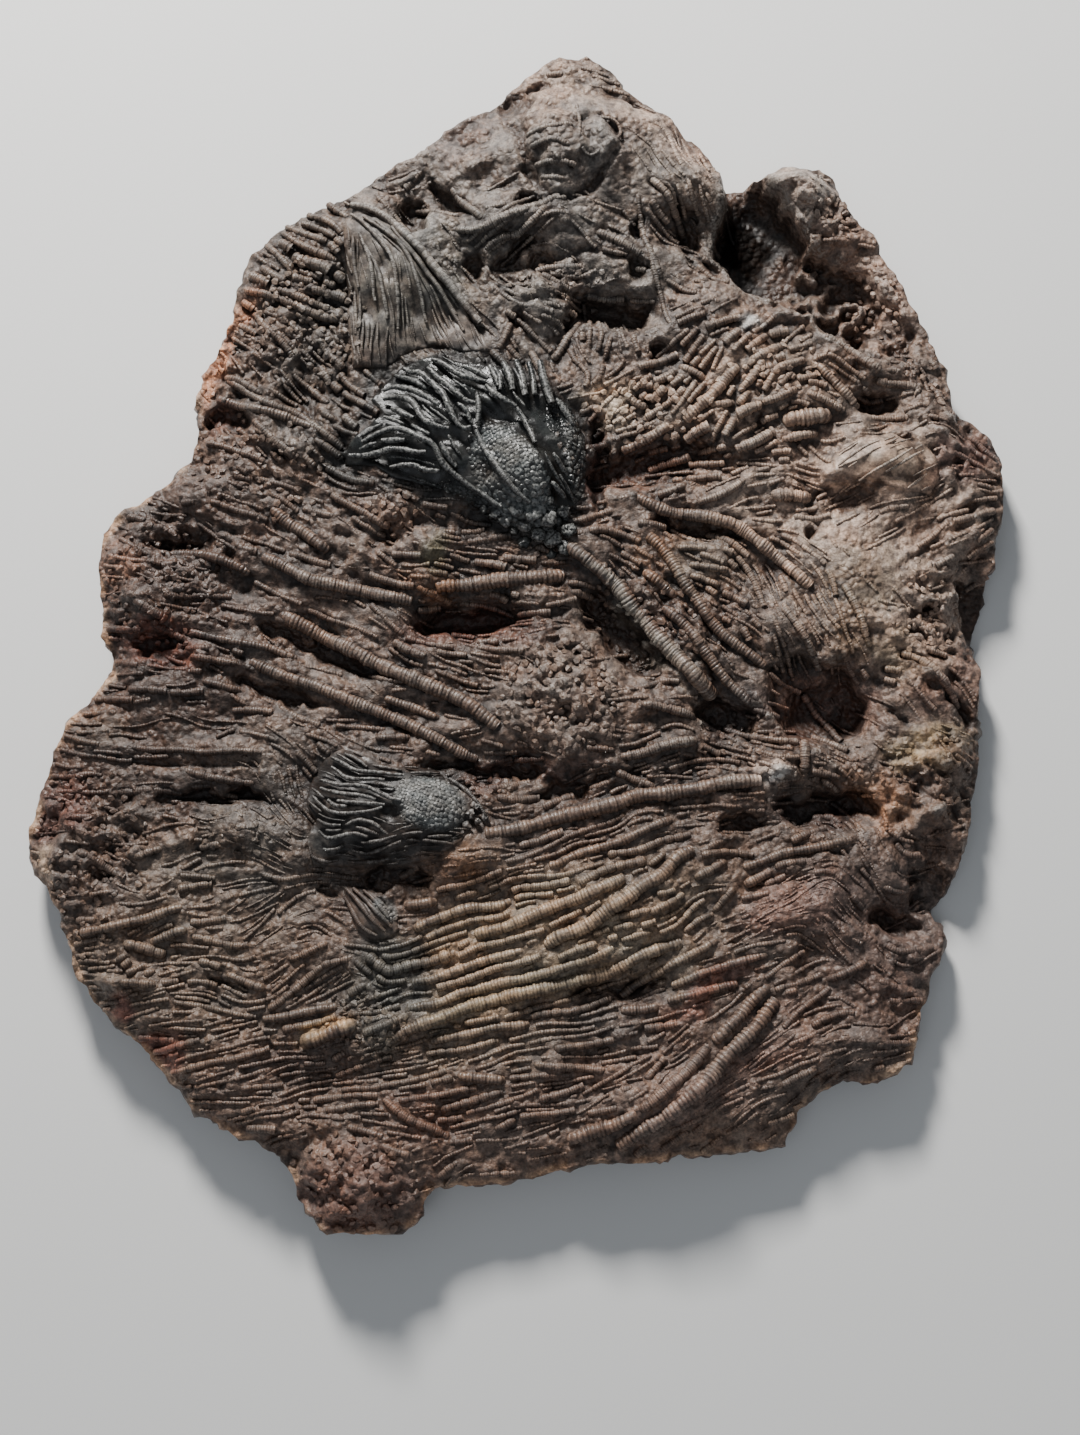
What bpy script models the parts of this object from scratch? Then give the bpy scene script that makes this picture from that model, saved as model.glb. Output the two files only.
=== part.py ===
"""Crinoid fossil: a limestone slab lying on its flat back, with crinoid crowns and stems in relief.

Plan coordinates are millimetres: +X to the slab's right, +Y to its peak, +Z up from its back.
MM turns them into metres when a mesh is made, and the whole slab is centred over its origin.
"""
import math

import bmesh
import bpy
from mathutils import Vector, noise
from mathutils.bvhtree import BVHTree
from mathutils.geometry import delaunay_2d_cdt

MM = 0.001

# Driving dimensions of the slab, in mm.
THICKNESS = 31.0       # bare surface above the back, at the slab's middle
RISE_TO_PEAK = 0.016   # the surface climbs this much per mm towards the peak
FALL_START = 70.0      # right of this line the surface falls away ...
FALL_TO_RIGHT = 0.055  # ... by this much per mm
EDGE_DROP = 8.0        # the worn rim lies this much lower than the surface
EDGE_WIDTH = 17.0      # the rim's shoulder
BACK_INSET = 5.0       # the back is this much smaller all round
SIDE_BULGE = 1.6       # the broken side stands out or in by this much
ROUGHNESS = 3.4        # height of the surface's own unevenness
ROUGH_SIZE = 21.0      # width of its humps
SURFACE_STEP = 13.0    # spacing of the surface's points
RIDGE_STEP = 8.0       # spacing of the points along a ridge
FOSSIL_GAP = 0.3       # clearance between a fossil and the bed that it lies on
CLEARANCE = 3.5        # the surface's points keep this far from an edge
WANDER = 0.5           # a spread point strays by up to this share of the spacing
WANDER_SIZE = 7.0      # neighbours this close stray together

# Crinoid skeletons: how far they stand proud of the bed, in mm.
BURIED = 0.36          # share of a stem's diameter that is sunk in the bed
CROWN_RIM = 1.4        # thickness of a crown at its margin
ARM_STEP = 6.5         # spacing of an arm's points along its length
CUP_STEP = 7.5         # spacing of a crown's other points
CUP_SHOULDER = 14.0    # a crown reaches its full dome this far from its margin
CROWN_MARGIN = 2.0     # a crown's points keep this far from its margin
ARM_SIDE = 0.55        # an arm's side lines run this share of its width off its middle
ARM_SPACING = 0.42     # a crown's points are at least this share of an arm's width apart
# The round top of a stem: share of its half width, share of its height.
STEM_SECTION = ((0.98, 0.50), (0.55, 0.90), (-0.55, 0.90), (-0.98, 0.50))

# The slab's outline, clockwise from its peak.
OUTLINE = [
    (20, 283), (33, 284), (44, 277), (52, 268), (60, 262), (72, 254), (80, 243), (90, 234),
    (100, 223), (110, 222), (128, 230), (143, 230), (151, 224), (153, 216), (161, 205),
    (170, 193), (178, 176), (184, 164), (192, 153), (199, 133), (204, 113), (214, 106),
    (222, 100), (226, 92), (225, 72), (223, 52), (220, 36), (211, 5), (213, -10), (212, -38),
    (208, -65), (204, -92), (197, -106), (189, -118), (194, -130), (188, -148), (183, -162),
    (180, -176), (177, -187), (158, -196), (147, -195), (135, -200), (126, -209), (121, -224),
    (94, -226), (70, -229), (49, -231), (34, -231), (18, -233), (0, -240), (-20, -240),
    (-37, -242), (-41, -253), (-50, -261), (-66, -262), (-83, -262), (-93, -250), (-98, -237),
    (-104, -227), (-128, -217), (-143, -207), (-155, -193), (-164, -183), (-174, -174),
    (-186, -165), (-196, -148), (-203, -126), (-208, -116), (-213, -107), (-221, -91),
    (-217, -76), (-211, -53), (-206, -38), (-194, -22), (-184, -12), (-186, -3), (-190, 13),
    (-191, 36), (-189, 54), (-180, 65), (-169, 71), (-159, 80), (-151, 88), (-147, 102),
    (-149, 118), (-145, 131), (-138, 143), (-131, 153), (-130, 168), (-123, 186), (-112, 196),
    (-101, 204), (-88, 211), (-76, 216), (-68, 223), (-56, 231), (-43, 236), (-34, 246),
    (-19, 254), (-6, 264), (8, 276),
]

# Swells of the surface: centre x, y, half length, half width, turn in degrees, height.
SWELLS = [
    (28, 233, 34, 40, 80, 13), (76, 216, 22, 26, 60, 6), (129, 215, 28, 17, 5, 9),
    (-45, 185, 46, 30, -48, 7), (2, 201, 34, 12, 10, 8), (-22, 98, 66, 50, 10, 11),
    (10, 78, 28, 30, 0, 6), (-40, 45, 12, 12, 0, 6), (-55, 63, 13, 12, 0, 5),
    (20, -22, 40, 42, 0, 8), (110, 118, 56, 34, 25, 6), (168, 86, 44, 26, 0, 8),
    (152, 139, 26, 8, -30, 7), (156, 22, 42, 46, 0, 6), (-50, -78, 56, 40, 0, 8),
    (-118, -86, 36, 18, 15, 5), (-66, -240, 44, 32, 10, 8), (128, -118, 34, 22, 15, 7),
    (118, -57, 15, 11, 0, 8), (190, -76, 14, 9, 0, 5), (-60, -172, 24, 24, 0, 5),
    (182, -45, 22, 14, 0, 5), (40, -120, 66, 32, 22, 7), (-20, -98, 30, 14, 0, 4),
    (196, 108, 16, 22, 0, 4), (-168, 30, 26, 30, 0, 4), (-196, -96, 24, 30, 0, 4),
    (90, 148, 28, 16, -20, 5), (12, 160, 17, 14, 0, 7), (178, 130, 22, 12, 0, 4),
    (165, -185, 34, 20, 0, 5), (75, -205, 60, 20, 28, 4),
]

# Hollows of the surface, given in the same way, with their depth.
HOLLOWS = [
    (-49, 204, 10, 9, 0, 11), (-34, 214, 13, 5, -42, 8), (113, 193, 17, 28, -8, 14),
    (147, 176, 22, 15, 0, 12), (166, 147, 17, 9, 0, 11), (46, 158, 19, 10, -10, 13),
    (66, 139, 7, 8, 0, 10), (26, 147, 12, 5, 20, 7), (81, 196, 15, 12, 0, 9),
    (64, 86, 32, 14, 10, 8), (38, 84, 6, 26, 0, 8), (58, 107, 8, 6, 0, 7),
    (84, 54, 26, 5, -10, 7), (50, 4, 32, 13, -48, 12), (-22, 12, 32, 9, 0, 13),
    (96, -34, 20, 11, -20, 10), (142, -30, 23, 16, 0, 15), (142, -72, 27, 9, 0, 12),
    (187, -108, 12, 14, 0, 9), (214, 20, 9, 18, 0, 14), (192, 20, 6, 5, 0, 6),
    (-155, 49, 15, 7, 0, 10), (-163, 3, 16, 8, 0, 8), (-92, -1, 40, 6, -20, 8),
    (-106, -21, 28, 6, -18, 7), (-135, -70, 26, 7, 0, 9), (-54, -106, 22, 6, 0, 8),
    (-12, -56, 38, 6, 0, 8), (26, -64, 22, 8, 12, 8), (103, -82, 13, 8, 0, 7),
    (168, 116, 10, 7, -20, 8), (152, 72, 20, 4, 0, 6), (-95, 122, 18, 12, 0, 6),
    (-40, 150, 14, 8, 0, 5), (170, -123, 16, 8, -15, 7), (-88, -190, 24, 12, 0, 5),
    (46, -153, 26, 5, 14, 5),
]

# Worn rods and ridges that are one with the bed: width, height, then points along the middle.
RIDGES = [
    (4.0, 2.6, [(-97, 205), (-87, 200), (-81, 193)]), (4.0, 2.4, [(-107, 199), (-89, 190)]),
    (4.0, 2.4, [(-109, 196), (-95, 186), (-84, 180)]), (4.0, 2.4, [(-117, 191), (-103, 176)]),
    (4.4, 2.4, [(-113, 168), (-98, 162), (-85, 157)]), (3.6, 2.0, [(-101, 156), (-93, 151)]),
    (3.6, 2.0, [(-110, 147), (-103, 139)]), (3.8, 2.2, [(-118, 100), (-108, 93), (-100, 87)]),
    (3.8, 2.2, [(-92, 95), (-80, 87)]), (4.6, 3.0, [(63, 219), (71, 212), (78, 197)]),
    (5.0, 3.4, [(-27, 195), (-15, 194), (-6, 199), (7, 204), (20, 210)]),
    (4.6, 3.0, [(-14, 186), (-7, 191), (3, 193), (14, 205)]),
    (4.4, 3.0, [(-30, 217), (-23, 208), (-16, 200)]),
    (4.0, 2.6, [(58, 202), (61, 190), (67, 174)]), (5.0, 2.8, [(38, 194), (49, 190), (59, 184)]),
    (4.6, 3.2, [(7, 137), (12, 126), (16, 116)]), (3.6, 2.6, [(-3, 150), (-8, 139)]),
    (4.4, 2.6, [(29, 154), (23, 144), (17, 135)]), (3.6, 2.6, [(76, 130), (86, 124)]),
    (4.6, 2.6, [(103, 119), (113, 132)]), (5.0, 3.0, [(108, 133), (122, 139)]),
    (4.8, 2.8, [(120, 127), (133, 134)]), (4.4, 2.6, [(113, 113), (128, 119)]),
    (4.4, 2.6, [(135, 118), (150, 111)]), (4.0, 2.4, [(84, 67), (95, 70), (105, 77)]),
    (4.4, 2.6, [(122, 96), (138, 99)]), (3.8, 2.2, [(84, 91), (97, 93)]),
    (3.8, 2.2, [(74, 45), (88, 45)]), (3.8, 2.2, [(80, 37), (95, 36)]),
    (5.6, 3.2, [(-172, 20), (-159, 12)]), (3.6, 2.2, [(-163, 9), (-150, 3)]),
    (4.0, 2.2, [(-146, -5), (-126, -8)]), (3.8, 2.2, [(-141, -17), (-125, -20)]),
    (3.6, 2.0, [(-175, -46), (-145, -48), (-115, -48)]), (3.6, 2.2, [(-62, -41), (-48, -41)]),
    (4.4, 2.6, [(58, -27), (68, -28), (80, -32)]), (5.6, 3.0, [(48, -50), (62, -47), (80, -43)]),
    (4.4, 2.8, [(46, -57), (62, -64)]), (4.0, 2.2, [(-170, -96), (-159, -92)]),
    (3.8, 2.2, [(60, -120), (74, -112)]), (3.8, 2.4, [(89, -119), (98, -109)]),
    (4.6, 2.6, [(80, -105), (94, -98)]), (4.4, 2.2, [(-33, -207), (-20, -203), (-6, -199)]),
    (4.4, 2.4, [(-57, -202), (-48, -211), (-30, -219)]), (4.2, 2.2, [(18, -180), (45, -176)]),
    (4.0, 2.2, [(-118, -62), (-135, -60), (-150, -56)]), (4.0, 2.2, [(10, -187), (40, -190)]),
    (4.6, 2.6, [(176, -2), (190, -9), (202, -26)]), (4.2, 2.4, [(122, 18), (132, 2), (138, -10)]),
    (4.2, 2.4, [(150, 28), (158, 12), (160, 0)]), (4.2, 2.2, [(-128, -148), (-112, -154)]),
    (4.2, 2.2, [(-176, -150), (-160, -152)]), (4.2, 2.2, [(140, -150), (156, -143)]),
    (4.2, 2.2, [(118, -196), (132, -189)]), (4.0, 2.2, [(-100, -141), (-84, -134)]),
]

# Stems and rods that lie on the bed: diameter, then points along the middle.
STEMS = {
    "upper_stem": (8.0, [(21, 47), (30, 41.5), (37, 36), (45, 29), (52, 21), (58, 13), (64, 6),
                         (70, -1), (76.5, -9), (83, -15.5), (89.5, -21.5)]),
    "right_stem": (5.6, [(60, 50), (65, 46), (70, 40), (74, 32), (79, 25), (84, 16), (90, 9),
                         (97, 3), (105, -3), (113, -8)]),
    "forked_stem": (5.6, [(58, 34), (63, 31), (68, 28), (73, 23.5)]),
    "inner_stem": (5.4, [(68, 18.5), (73, 13), (78, 7), (83, 1), (88, -5), (92.5, -11.5),
                         (98, -18), (106, -25)]),
    "tan_stem": (6.0, [(55, 70), (63, 65.5), (72, 62.5), (82, 61), (92, 60.5), (100, 57),
                       (108, 51), (116, 45), (124, 38), (133, 28)]),
    "ringed_stem": (7.6, [(-36, 27.5), (-26, 28), (-15, 29), (-4, 30.5), (8, 32), (20, 33)]),
    "left_stem_tip": (5.0, [(-158, 43), (-148, 43.5), (-139, 41.5), (-130, 37.5), (-122, 33)]),
    "left_stem": (6.2, [(-114, 41), (-106, 36), (-98, 32), (-89, 28.5), (-78, 27), (-67, 25.5),
                        (-57, 23.5), (-48, 20)]),
    "branch_stem": (7.4, [(-106, 15), (-97, 10.5), (-88, 6.5), (-80, 2), (-72, -4.5),
                          (-62, -8.5), (-53, -12), (-45, -17), (-35, -20.5), (-26, -23.5),
                          (-18, -28.5), (-9, -37)]),
    "thin_left_stem": (3.6, [(-148, 6), (-139, 4.5), (-129, 2), (-119, 0), (-109, -1.5),
                             (-99, -4)]),
    "wavy_stem": (6.0, [(-121, -6.5), (-113, -10.5), (-104, -13.5), (-94, -17), (-84, -20.5),
                        (-74, -26), (-63, -30.5), (-52, -34), (-43, -38), (-35, -43),
                        (-27, -47.5), (-18, -50)]),
    "wavy_rod": (4.0, [(-60, -24), (-51, -27), (-43, -30), (-35, -33)]),
    "shoulder_stem": (6.0, [(-112, 63), (-104, 57), (-95, 51.5), (-85, 45.5)]),
    "lower_stem": (7.6, [(-14, -84.5), (-3, -84), (8, -80.5), (20, -77), (31, -74.5),
                         (42, -71.5), (53, -69), (64, -67), (75, -65.5), (87, -63.5),
                         (98, -62), (110, -60.5)]),
    "under_stem": (4.2, [(15, -99), (25, -96), (35, -93), (45, -89.5), (54, -85.5), (63, -82),
                         (71, -79)]),
    "bundle_stem_1": (5.4, [(-45, -127), (-36, -124), (-27, -120.5), (-15, -118), (-3, -115.5)]),
    "bundle_stem_2": (6.2, [(-18, -130), (-8, -127.5), (1, -125), (11, -121), (20, -117),
                            (30, -112.5), (39, -109.5), (48, -105)]),
    "bundle_stem_3": (7.0, [(14, -134), (24, -129.5), (33, -125), (42, -119.5), (51, -113.5),
                            (60, -107), (69, -100), (79, -92)]),
    "bundle_stem_4": (5.0, [(-48, -164), (-38, -161), (-28, -158), (-17, -155.5), (-7, -152),
                            (3, -149.5), (13, -147), (23, -144.5), (34, -141), (44, -136.5)]),
    "bundle_stem_5": (6.6, [(-54, -176), (-44, -171), (-34, -167), (-24, -164), (-13, -161),
                            (-2, -158), (9, -154.5), (20, -152), (31, -150), (42, -147),
                            (51, -142), (60, -137.5), (73, -133.5)]),
    "bundle_stem_6": (4.6, [(-46, -152), (-36, -149), (-26, -146), (-16, -143), (-6, -139.5),
                            (4, -137)]),
    "bundle_stem_7": (4.4, [(-38, -178), (-28, -175.5), (-17, -173), (-6, -171.5), (6, -169)]),
    "bundle_stem_8": (4.6, [(47, -157.5), (55, -151.5), (63, -147), (71, -142), (80, -137),
                            (90, -132)]),
    "bundle_stem_9": (4.4, [(68, -160.5), (78, -157), (88, -153.5), (99, -151)]),
    "bundle_stem_10": (4.2, [(70, -152.5), (80, -148.5), (90, -144.5), (101, -141), (112, -139)]),
    "pale_rod": (4.6, [(48, -163), (56, -163.5), (64, -162)]),
    "twin_stem_left": (6.4, [(88, -177), (94, -171), (100, -165), (106, -159), (112, -153)]),
    "twin_stem_right": (7.6, [(46, -224), (54, -218), (62, -212), (70, -206.5), (77, -200.5),
                              (84, -194), (91, -186.5), (98, -179), (105, -171.5),
                              (111, -165.5), (117, -159.5)]),
    "short_ringed_stem": (6.6, [(24, -221), (32, -218), (39, -215), (46, -212), (53, -208.5)]),
    "ringed_block": (8.0, [(-93, -177), (-86, -175), (-79, -173), (-71, -170.5)]),
    "edge_strand": (4.2, [(-112, -168), (-101, -166), (-90, -163.5), (-79, -162.5)]),
    "low_left_stem": (4.8, [(-194, -129.5), (-187, -128.5), (-179, -127), (-168, -124),
                            (-158, -121), (-148, -118.5)]),
    "low_left_rod": (4.2, [(-162, -134), (-154, -131), (-146, -128)]),
    "ringed_barrel": (8.6, [(124, 105), (130, 106), (136, 107), (143, 107.5)]),
    "long_rod": (5.6, [(78, 105), (85, 111), (92, 118), (97, 124), (101, 130)]),
    "tan_rod": (5.0, [(49, 93), (57, 96), (64, 100), (71, 103.5)]),
    "slope_stem": (4.8, [(140, 132), (147, 125), (153, 118), (158, 112)]),
    "low_right_stem": (4.6, [(102, -100), (110, -97), (119, -94), (129, -92), (140, -90),
                             (151, -88)]),
    "high_left_stem": (4.8, [(-138, 117), (-129, 113), (-119, 110.5), (-109, 107.5),
                             (-99, 103.5), (-90, 99.5)]),
    "dark_rod": (5.0, [(-49, -117), (-42, -116), (-35, -115.5)]),
    "foot_rod": (5.2, [(-25, -192), (-15, -192.8), (-5, -193.5)]),
}

# Crowns: footprint, height of its domed middle, cup (centre x, y, half length, half width,
# turn, height) and arms (width and height, then points along the middle).
CROWNS = {
    "upper_crown": {
        "footprint": [(-62, 121), (-52, 130), (-38, 135), (-24, 131), (-10, 130), (0, 127),
                      (8, 117), (18, 115), (26, 109), (31, 98), (32, 84), (31, 71), (24, 60),
                      (17, 53), (7, 51), (-4, 54), (-14, 60), (-24, 67), (-40, 73), (-57, 77),
                      (-64, 82), (-78, 84), (-80, 90), (-72, 97), (-66, 103), (-62, 108),
                      (-66, 114)],
        "dome": 2.5,
        "cup": (7, 78, 28, 22, 118, 6.0),
        "arm_size": (4.6, 3.4),
        "arms": [
            [(-52, 128), (-44, 125), (-40, 121), (-34, 115), (-30, 107), (-27, 99)],
            [(-40, 129), (-32, 127), (-27, 124), (-22, 121), (-14, 118)],
            [(-58, 117), (-49, 117), (-43, 113), (-38, 109)],
            [(-57, 109), (-48, 108), (-42, 103), (-36, 99)],
            [(-66, 95), (-60, 98), (-53, 99), (-46, 95), (-38, 91), (-34, 85), (-29, 78)],
            [(-74, 88), (-66, 88), (-57, 89), (-49, 87), (-40, 87)],
            [(-57, 81), (-48, 81), (-42, 79), (-34, 78)],
            [(-22, 127), (-15, 124), (-9, 119)],
            [(-10, 112), (-4, 110), (2, 107)],
            [(-17, 112), (-17, 105), (-18, 98)],
        ],
    },
    "lower_crown": {
        "footprint": [(-84, -50), (-76, -46), (-68, -50), (-58, -55), (-46, -55), (-35, -57),
                      (-28, -63), (-22, -70), (-18, -78), (-20, -84), (-26, -91), (-36, -97),
                      (-50, -100), (-64, -101), (-78, -100), (-90, -99), (-93, -90),
                      (-90, -80), (-94, -70), (-91, -59)],
        "dome": 3.0,
        "cup": (-38, -76, 22, 20, 0, 6.0),
        "arm_size": (3.6, 3.0),
        "arms": [
            [(-82, -52), (-76, -54), (-69, -57), (-61, -59), (-52, -60)],
            [(-87, -62), (-79, -64), (-70, -64), (-62, -68), (-54, -71)],
            [(-78, -70), (-70, -72), (-62, -72)],
            [(-88, -70), (-85, -76), (-76, -78), (-66, -76)],
            [(-84, -86), (-77, -87), (-68, -86), (-60, -83)],
            [(-87, -92), (-80, -95), (-72, -94), (-63, -93), (-55, -91)],
        ],
    },
    "top_crown": {
        "footprint": [(-79, 208), (-70, 205), (-61, 201), (-55, 194), (-47, 186), (-39, 175),
                      (-31, 166), (-23, 155), (-15, 144), (-12, 137), (-24, 136), (-38, 140),
                      (-52, 136), (-60, 129), (-75, 130), (-78, 150), (-79, 175), (-80, 193)],
        "dome": 4.0,
        "cup": (-52, 160, 34, 22, -50, 2.5),
        "arm_size": (4.4, 2.6),
        "arms": [
            [(-76, 203), (-66, 198), (-59, 191), (-55, 184), (-54, 175)],
            [(-74, 193), (-67, 188), (-62, 182)],
            [(-60, 198), (-53, 191), (-46, 182), (-38, 171), (-30, 161), (-23, 150)],
            [(-72, 178), (-64, 172), (-56, 162), (-50, 150)],
        ],
    },
    "worn_crown": {
        "footprint": [(145, 87), (150, 94), (160, 97), (172, 99), (184, 96), (193, 90),
                      (195, 80), (190, 72), (178, 72), (164, 77), (154, 78), (146, 79)],
        "dome": 4.5,
        "cup": (172, 86, 24, 12, 5, 4.0),
        "arm_size": (4.0, 1.6),
        "arms": [
            [(152, 90), (162, 92), (173, 93), (184, 90)],
            [(152, 83), (163, 84), (175, 82), (186, 78)],
        ],
    },
    "leaf_cup": {
        "footprint": [(-78, -108), (-68, -109), (-60, -114), (-54, -121), (-51, -128),
                      (-55, -132), (-63, -133), (-70, -129), (-74, -120)],
        "dome": 3.0,
        "cup": (-64, -122, 14, 8, -52, 3.0),
        "arm_size": (3.4, 1.4),
        "arms": [
            [(-72, -112), (-66, -118), (-60, -124)],
        ],
    },
}


def blend(low, high, value):
    """A smooth step from 0 at low to 1 at high."""
    t = min(max((value - low) / (high - low), 0.0), 1.0)
    return t * t * (3.0 - 2.0 * t)


def ellipse_distance(x, y, centre_x, centre_y, half_length, half_width, turn):
    """0 at an ellipse's centre and 1 on its edge."""
    angle = math.radians(turn)
    dx, dy = x - centre_x, y - centre_y
    along = dx * math.cos(angle) + dy * math.sin(angle)
    across = dy * math.cos(angle) - dx * math.sin(angle)
    return math.hypot(along / half_length, across / half_width)


def line_distance(point, line, closed=False):
    """Distance from a point to the nearest place on a line of points."""
    ends = zip(line, line[1:] + line[:1]) if closed else zip(line, line[1:])
    nearest = math.inf
    for (ax, ay), (bx, by) in ends:
        dx, dy = bx - ax, by - ay
        t = ((point[0] - ax) * dx + (point[1] - ay) * dy) / (dx * dx + dy * dy)
        t = min(max(t, 0.0), 1.0)
        nearest = min(nearest, math.hypot(point[0] - ax - t * dx, point[1] - ay - t * dy))
    return nearest


def is_inside(point, polygon):
    """Whether a point lies inside a polygon."""
    x, y = point
    inside = False
    for (ax, ay), (bx, by) in zip(polygon, polygon[1:] + polygon[:1]):
        if (ay > y) != (by > y) and x < ax + (bx - ax) * (y - ay) / (by - ay):
            inside = not inside
    return inside


def ground(x, y):
    """Height of the bare bed above the slab's back."""
    height = THICKNESS + RISE_TO_PEAK * y - FALL_TO_RIGHT * max(0.0, x - FALL_START)
    height += ROUGHNESS * noise.noise(Vector((x, y, 0.0)) / ROUGH_SIZE)
    for width, rise, path in RIDGES:
        height += rise * (1.0 - blend(0.0, 0.75 * width, line_distance((x, y), path)))
    for *place, rise in SWELLS:
        height += rise * (1.0 - blend(0.1, 1.1, ellipse_distance(x, y, *place)))
    for *place, depth in HOLLOWS:
        height -= depth * (1.0 - blend(0.45, 1.2, ellipse_distance(x, y, *place)))
    rim = line_distance((x, y), OUTLINE, closed=True)
    return height - EDGE_DROP * (1.0 - blend(-3.0, EDGE_WIDTH, rim))


def spread_points(polygon, step, stagger=0.5):
    """A triangular grid of points, step apart, that covers a polygon's box."""
    low_x, high_x = min(p[0] for p in polygon), max(p[0] for p in polygon)
    low_y, high_y = min(p[1] for p in polygon), max(p[1] for p in polygon)
    row_step = step * math.sqrt(0.75)
    for row in range(int((high_y - low_y) / row_step) + 1):
        y = low_y + (row + 0.5) * row_step
        for column in range(int((high_x - low_x) / step) + 1):
            x = low_x + (column + stagger * (row % 2)) * step
            along = noise.noise(Vector((x, y, step)) / WANDER_SIZE)
            across = noise.noise(Vector((y, x, -step)) / WANDER_SIZE)
            yield x + WANDER * step * along, y + WANDER * step * across


def stem_sides(diameter, path):
    """The left and right lines where a half-buried stem meets the bed."""
    half = diameter * math.sqrt(BURIED * (1.0 - BURIED))
    left, right = [], []
    for i, (x, y) in enumerate(path):
        ahead = path[min(i + 1, len(path) - 1)]
        behind = path[max(i - 1, 0)]
        dx, dy = ahead[0] - behind[0], ahead[1] - behind[1]
        length = math.hypot(dx, dy)
        left.append((x - dy / length * half, y + dx / length * half))
        right.append((x + dy / length * half, y - dx / length * half))
    return left, right


def footprints():
    """Each fossil's footprint on the bed, by name."""
    found = {}
    for name, (diameter, path) in STEMS.items():
        left, right = stem_sides(diameter, path)
        found[name] = left + right[::-1]
    for name, crown in CROWNS.items():
        found[name] = crown["footprint"]
    return found


def triangulate(polygons, points):
    """Triangles over the first polygon, which keep every polygon's edges.

    The polygons run clockwise, as the outline does, and the triangles anticlockwise.
    Gives the corners in plan, the triangles, each triangle's polygons and each input's corner.
    """
    coords, loops = [], []
    for polygon in polygons:
        start = len(coords)
        coords += [Vector(p) for p in polygon]
        loops.append(list(range(start, len(coords)))[::-1])
    coords += [Vector(p) for p in points]
    corners, _, triangles, origins, _, owners = delaunay_2d_cdt(coords, [], loops, 1, 1e-4, True)
    place = {given: made for made, group in enumerate(origins) for given in group}
    inner = [(t, owner) for t, owner in zip(triangles, owners) if 0 in owner]
    return corners, [t for t, _ in inner], [owner for _, owner in inner], place


def lines_along(path, step, side):
    """Points along the middle of a path and along both of its sides."""
    for (ax, ay), (bx, by) in zip(path, path[1:]):
        length = math.hypot(bx - ax, by - ay)
        steps = max(1, round(length / step))
        for k in range(steps + 1):
            x, y = ax + (bx - ax) * k / steps, ay + (by - ay) * k / steps
            for out in (0.0, side, -side):
                yield x - (by - ay) / length * out, y + (bx - ax) / length * out


def thin_out(points, allowed, spacing):
    """The points that are allowed and lie at least a spacing from those kept before them."""
    kept = []
    for p in points:
        if allowed(p) and all(math.dist(p, other) > spacing for other in kept):
            kept.append(p)
    return kept


def bed_surface(marks):
    """The bed's triangles, laid out so that each fossil's footprint is whole triangles."""
    polygons = [OUTLINE] + list(marks.values())

    def is_clear(p):
        return (is_inside(p, OUTLINE)
                and all(line_distance(p, polygon, closed=True) > CLEARANCE for polygon in polygons)
                and not any(is_inside(p, marks[name]) for name in STEMS))

    ridges = [p for width, _, path in RIDGES for p in lines_along(path, RIDGE_STEP, 0.75 * width)]
    ridges = thin_out(ridges, is_clear, 2.4)
    spread = [p for p in spread_points(OUTLINE, SURFACE_STEP)
              if is_clear(p) and all(math.dist(p, other) > 0.5 * SURFACE_STEP for other in ridges)]
    return triangulate(polygons, ridges + spread)


def material(name, colour, roughness):
    """A plain stone finish."""
    made = bpy.data.materials.new(name)
    made.use_nodes = True
    shader = made.node_tree.nodes["Principled BSDF"]
    shader.inputs["Base Color"].default_value = (*colour, 1.0)
    shader.inputs["Roughness"].default_value = roughness
    shader.inputs["Metallic"].default_value = 0.0
    return made


def finish_object(name, mesh, centre, stone):
    """Turns a bmesh in millimetres into a named object in metres, centred over the origin."""
    bmesh.ops.translate(mesh, verts=mesh.verts, vec=(-centre[0], -centre[1], 0.0))
    bmesh.ops.scale(mesh, verts=mesh.verts, vec=(MM, MM, MM))
    bmesh.ops.triangulate(mesh, faces=mesh.faces)
    bmesh.ops.recalc_face_normals(mesh, faces=mesh.faces)
    data = bpy.data.meshes.new(name)
    mesh.to_mesh(data)
    mesh.free()
    data.materials.append(stone)
    body = bpy.data.objects.new(name, data)
    bpy.context.scene.collection.objects.link(body)
    return body


def rim_ring(mesh, offset, height):
    """One ring of points round the slab's side, moved out of the outline by offset(i)."""
    ring = []
    count = len(OUTLINE)
    for i, (x, y) in enumerate(OUTLINE):
        ahead, behind = OUTLINE[(i + 2) % count], OUTLINE[i - 2]
        dx, dy = ahead[0] - behind[0], ahead[1] - behind[1]
        length = math.hypot(dx, dy)
        out = offset(i)
        ring.append(mesh.verts.new((x - dy / length * out, y + dx / length * out, height(i))))
    return ring


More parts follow.
